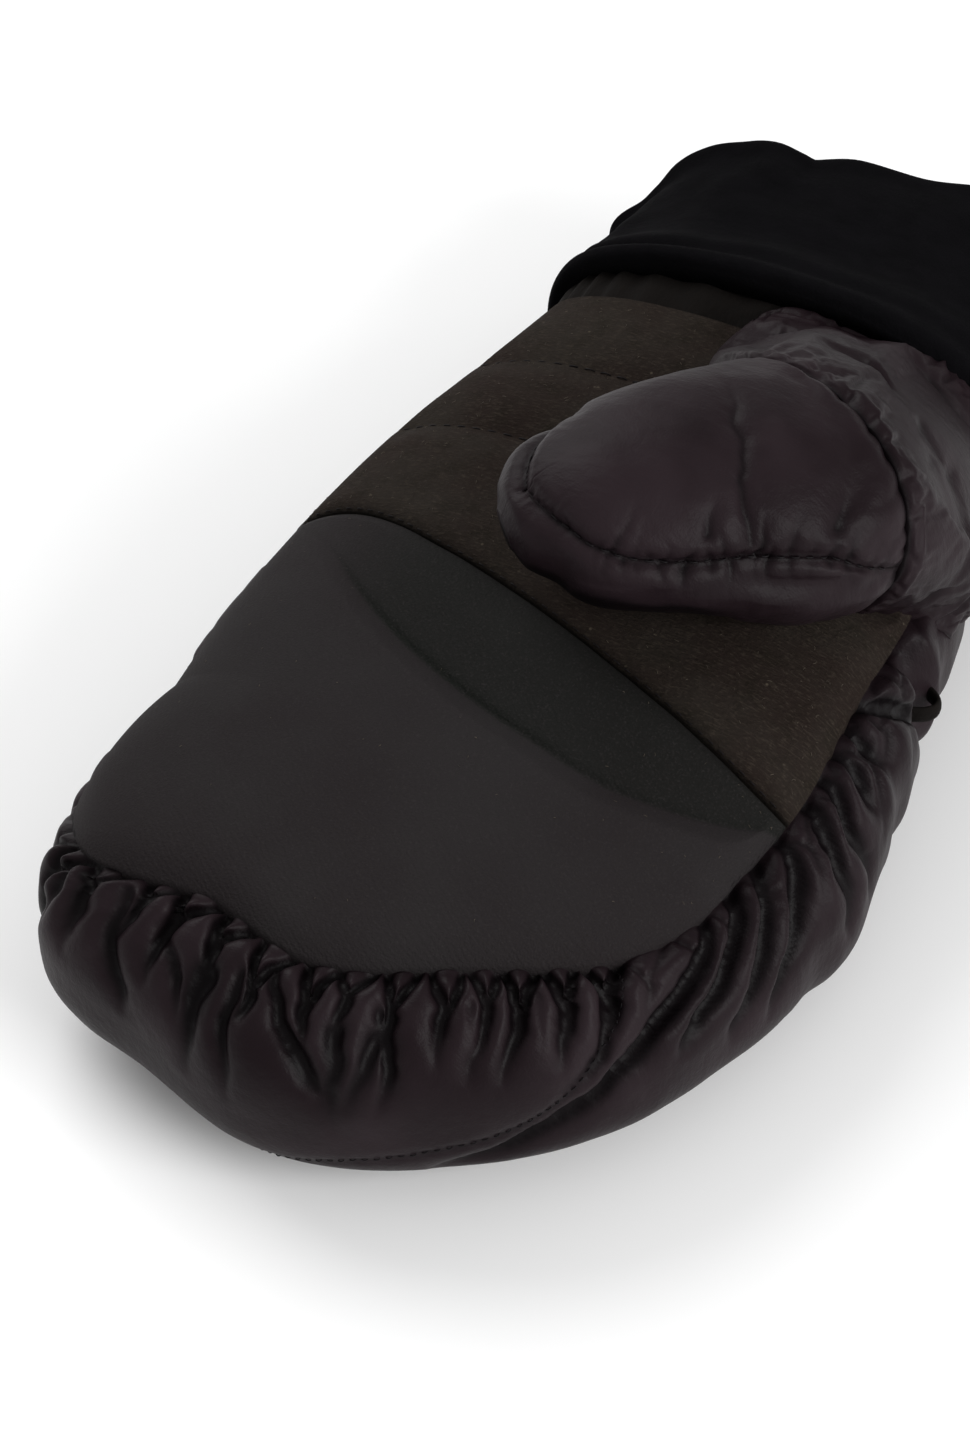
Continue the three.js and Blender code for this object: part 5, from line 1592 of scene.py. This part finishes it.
# %% Lint
def lint_hairs(name, grid, count, seed, slot_name, longest):
    """Short curved hairs that lie on a grid of points."""
    rng = np.random.default_rng(seed)
    out_grid = normals_of(grid)
    if out_grid[..., 2].mean() < 0:
        out_grid = -out_grid
    parts = []
    for _ in range(count):
        i, j = rng.integers(4, grid.shape[0] - 4), rng.integers(4, grid.shape[1] - 4)
        long, turn = rng.uniform(0.25, longest), rng.uniform(0, 2 * np.pi)
        curl = rng.uniform(-1.4, 1.4)
        t = np.linspace(0, 1, 5)
        bend = turn + curl * t
        x, y = np.cumsum(np.cos(bend)) * long / 5, np.cumsum(np.sin(bend)) * long / 5
        z = 0.05 + 0.22 * np.sin(np.pi * t) * rng.uniform(0, 1)
        line = grid[i, j] + np.stack([x - x.mean(), y - y.mean(), 0 * x], 1)
        slope = -out_grid[i, j, :2] / max(out_grid[i, j, 2], 0.2)
        line[:, 2] += (line[:, :2] - grid[i, j, :2]) @ slope + z
        parts.append(tube(line, rng.uniform(0.025, 0.05), 3))
    piece(name, *joined(parts), lint, slot_name)


lint_hairs("palm_lint", felt_top, 340, 71, "palm_felt", 1.3)
lint_hairs("finger_lint", fingers_top, 70, 72, "finger_softshell", 0.8)

# %% [markdown]
# ## Floor, light and camera
# The mitten is photographed on white: a pale floor, a bright soft sky all round, one large soft light
# from the far left and a weaker one from the right. The camera stands where the photographer stood, 48
# degrees above the table and 27 degrees round towards the thumb. Its lens is long, because the photograph
# shows little perspective.

# %% Floor and room
FLOOR_HALF, FLOOR_DROP = 4, 0.0004  # metres
floor_signs = ((-1, -1), (1, -1), (1, 1), (-1, 1))
floor_corners = [(x * FLOOR_HALF, y * FLOOR_HALF, -FLOOR_DROP) for x, y in floor_signs]
floor_mesh = bpy.data.meshes.new("floor")
floor_mesh.from_pydata(floor_corners, [], [(0, 1, 2, 3)])
floor = bpy.data.objects.new("floor", floor_mesh)
bpy.context.scene.collection.objects.link(floor)
paper = Surface("pale_paper")
floor.data.materials.append(paper.finish(
    (0.94, 0.94, 0.94, 1), 0.9, paper.bump(paper.noise(40, 2), 0.0001, 0.1), Specular_IOR_Level=0.1
))

world = bpy.data.worlds.new("white_room")
bpy.context.scene.world = world
world.use_nodes = True
world.node_tree.nodes["Background"].inputs["Color"].default_value = (1, 1, 1, 1)
world.node_tree.nodes["Background"].inputs["Strength"].default_value = 0.55
bpy.context.scene.view_settings.view_transform = "Standard"


# %% Lights
def soft_light(name, place, size, watts):
    data = bpy.data.lights.new(name, "AREA")
    data.shape, data.size, data.energy = "DISK", size, watts
    lamp = bpy.data.objects.new(name, data)
    lamp.location = place
    lamp.rotation_euler = Vector(place).to_track_quat("Z", "Y").to_euler()
    bpy.context.scene.collection.objects.link(lamp)


soft_light("window_light", (-0.95, 0.45, 0.95), 1.3, 15)
soft_light("right_light", (1.0, -0.25, 0.55), 0.7, 11)

# %% Camera
CAMERA_AZIMUTH, CAMERA_ELEVATION, CAMERA_DISTANCE = math.radians(27), math.radians(48), 825.0
target = np.array([-10.0, 84.0, 33.0]) + ORIGIN
back = np.array([
    math.sin(CAMERA_AZIMUTH) * math.cos(CAMERA_ELEVATION),
    -math.cos(CAMERA_AZIMUTH) * math.cos(CAMERA_ELEVATION),
    math.sin(CAMERA_ELEVATION),
])
camera_data = bpy.data.cameras.new("camera")
camera_data.lens, camera_data.sensor_width = 108.9, 36  # millimetres
camera_data.clip_start, camera_data.clip_end = 0.05, 20
camera = bpy.data.objects.new("camera", camera_data)
camera.location = (target + back * CAMERA_DISTANCE) / 1000
camera.rotation_mode = "QUATERNION"
camera.rotation_quaternion = Vector(-back).to_track_quat("-Z", "Y")
bpy.context.scene.collection.objects.link(camera)
bpy.context.scene.camera = camera
print("camera at", [round(value, 3) for value in camera.location], "m")
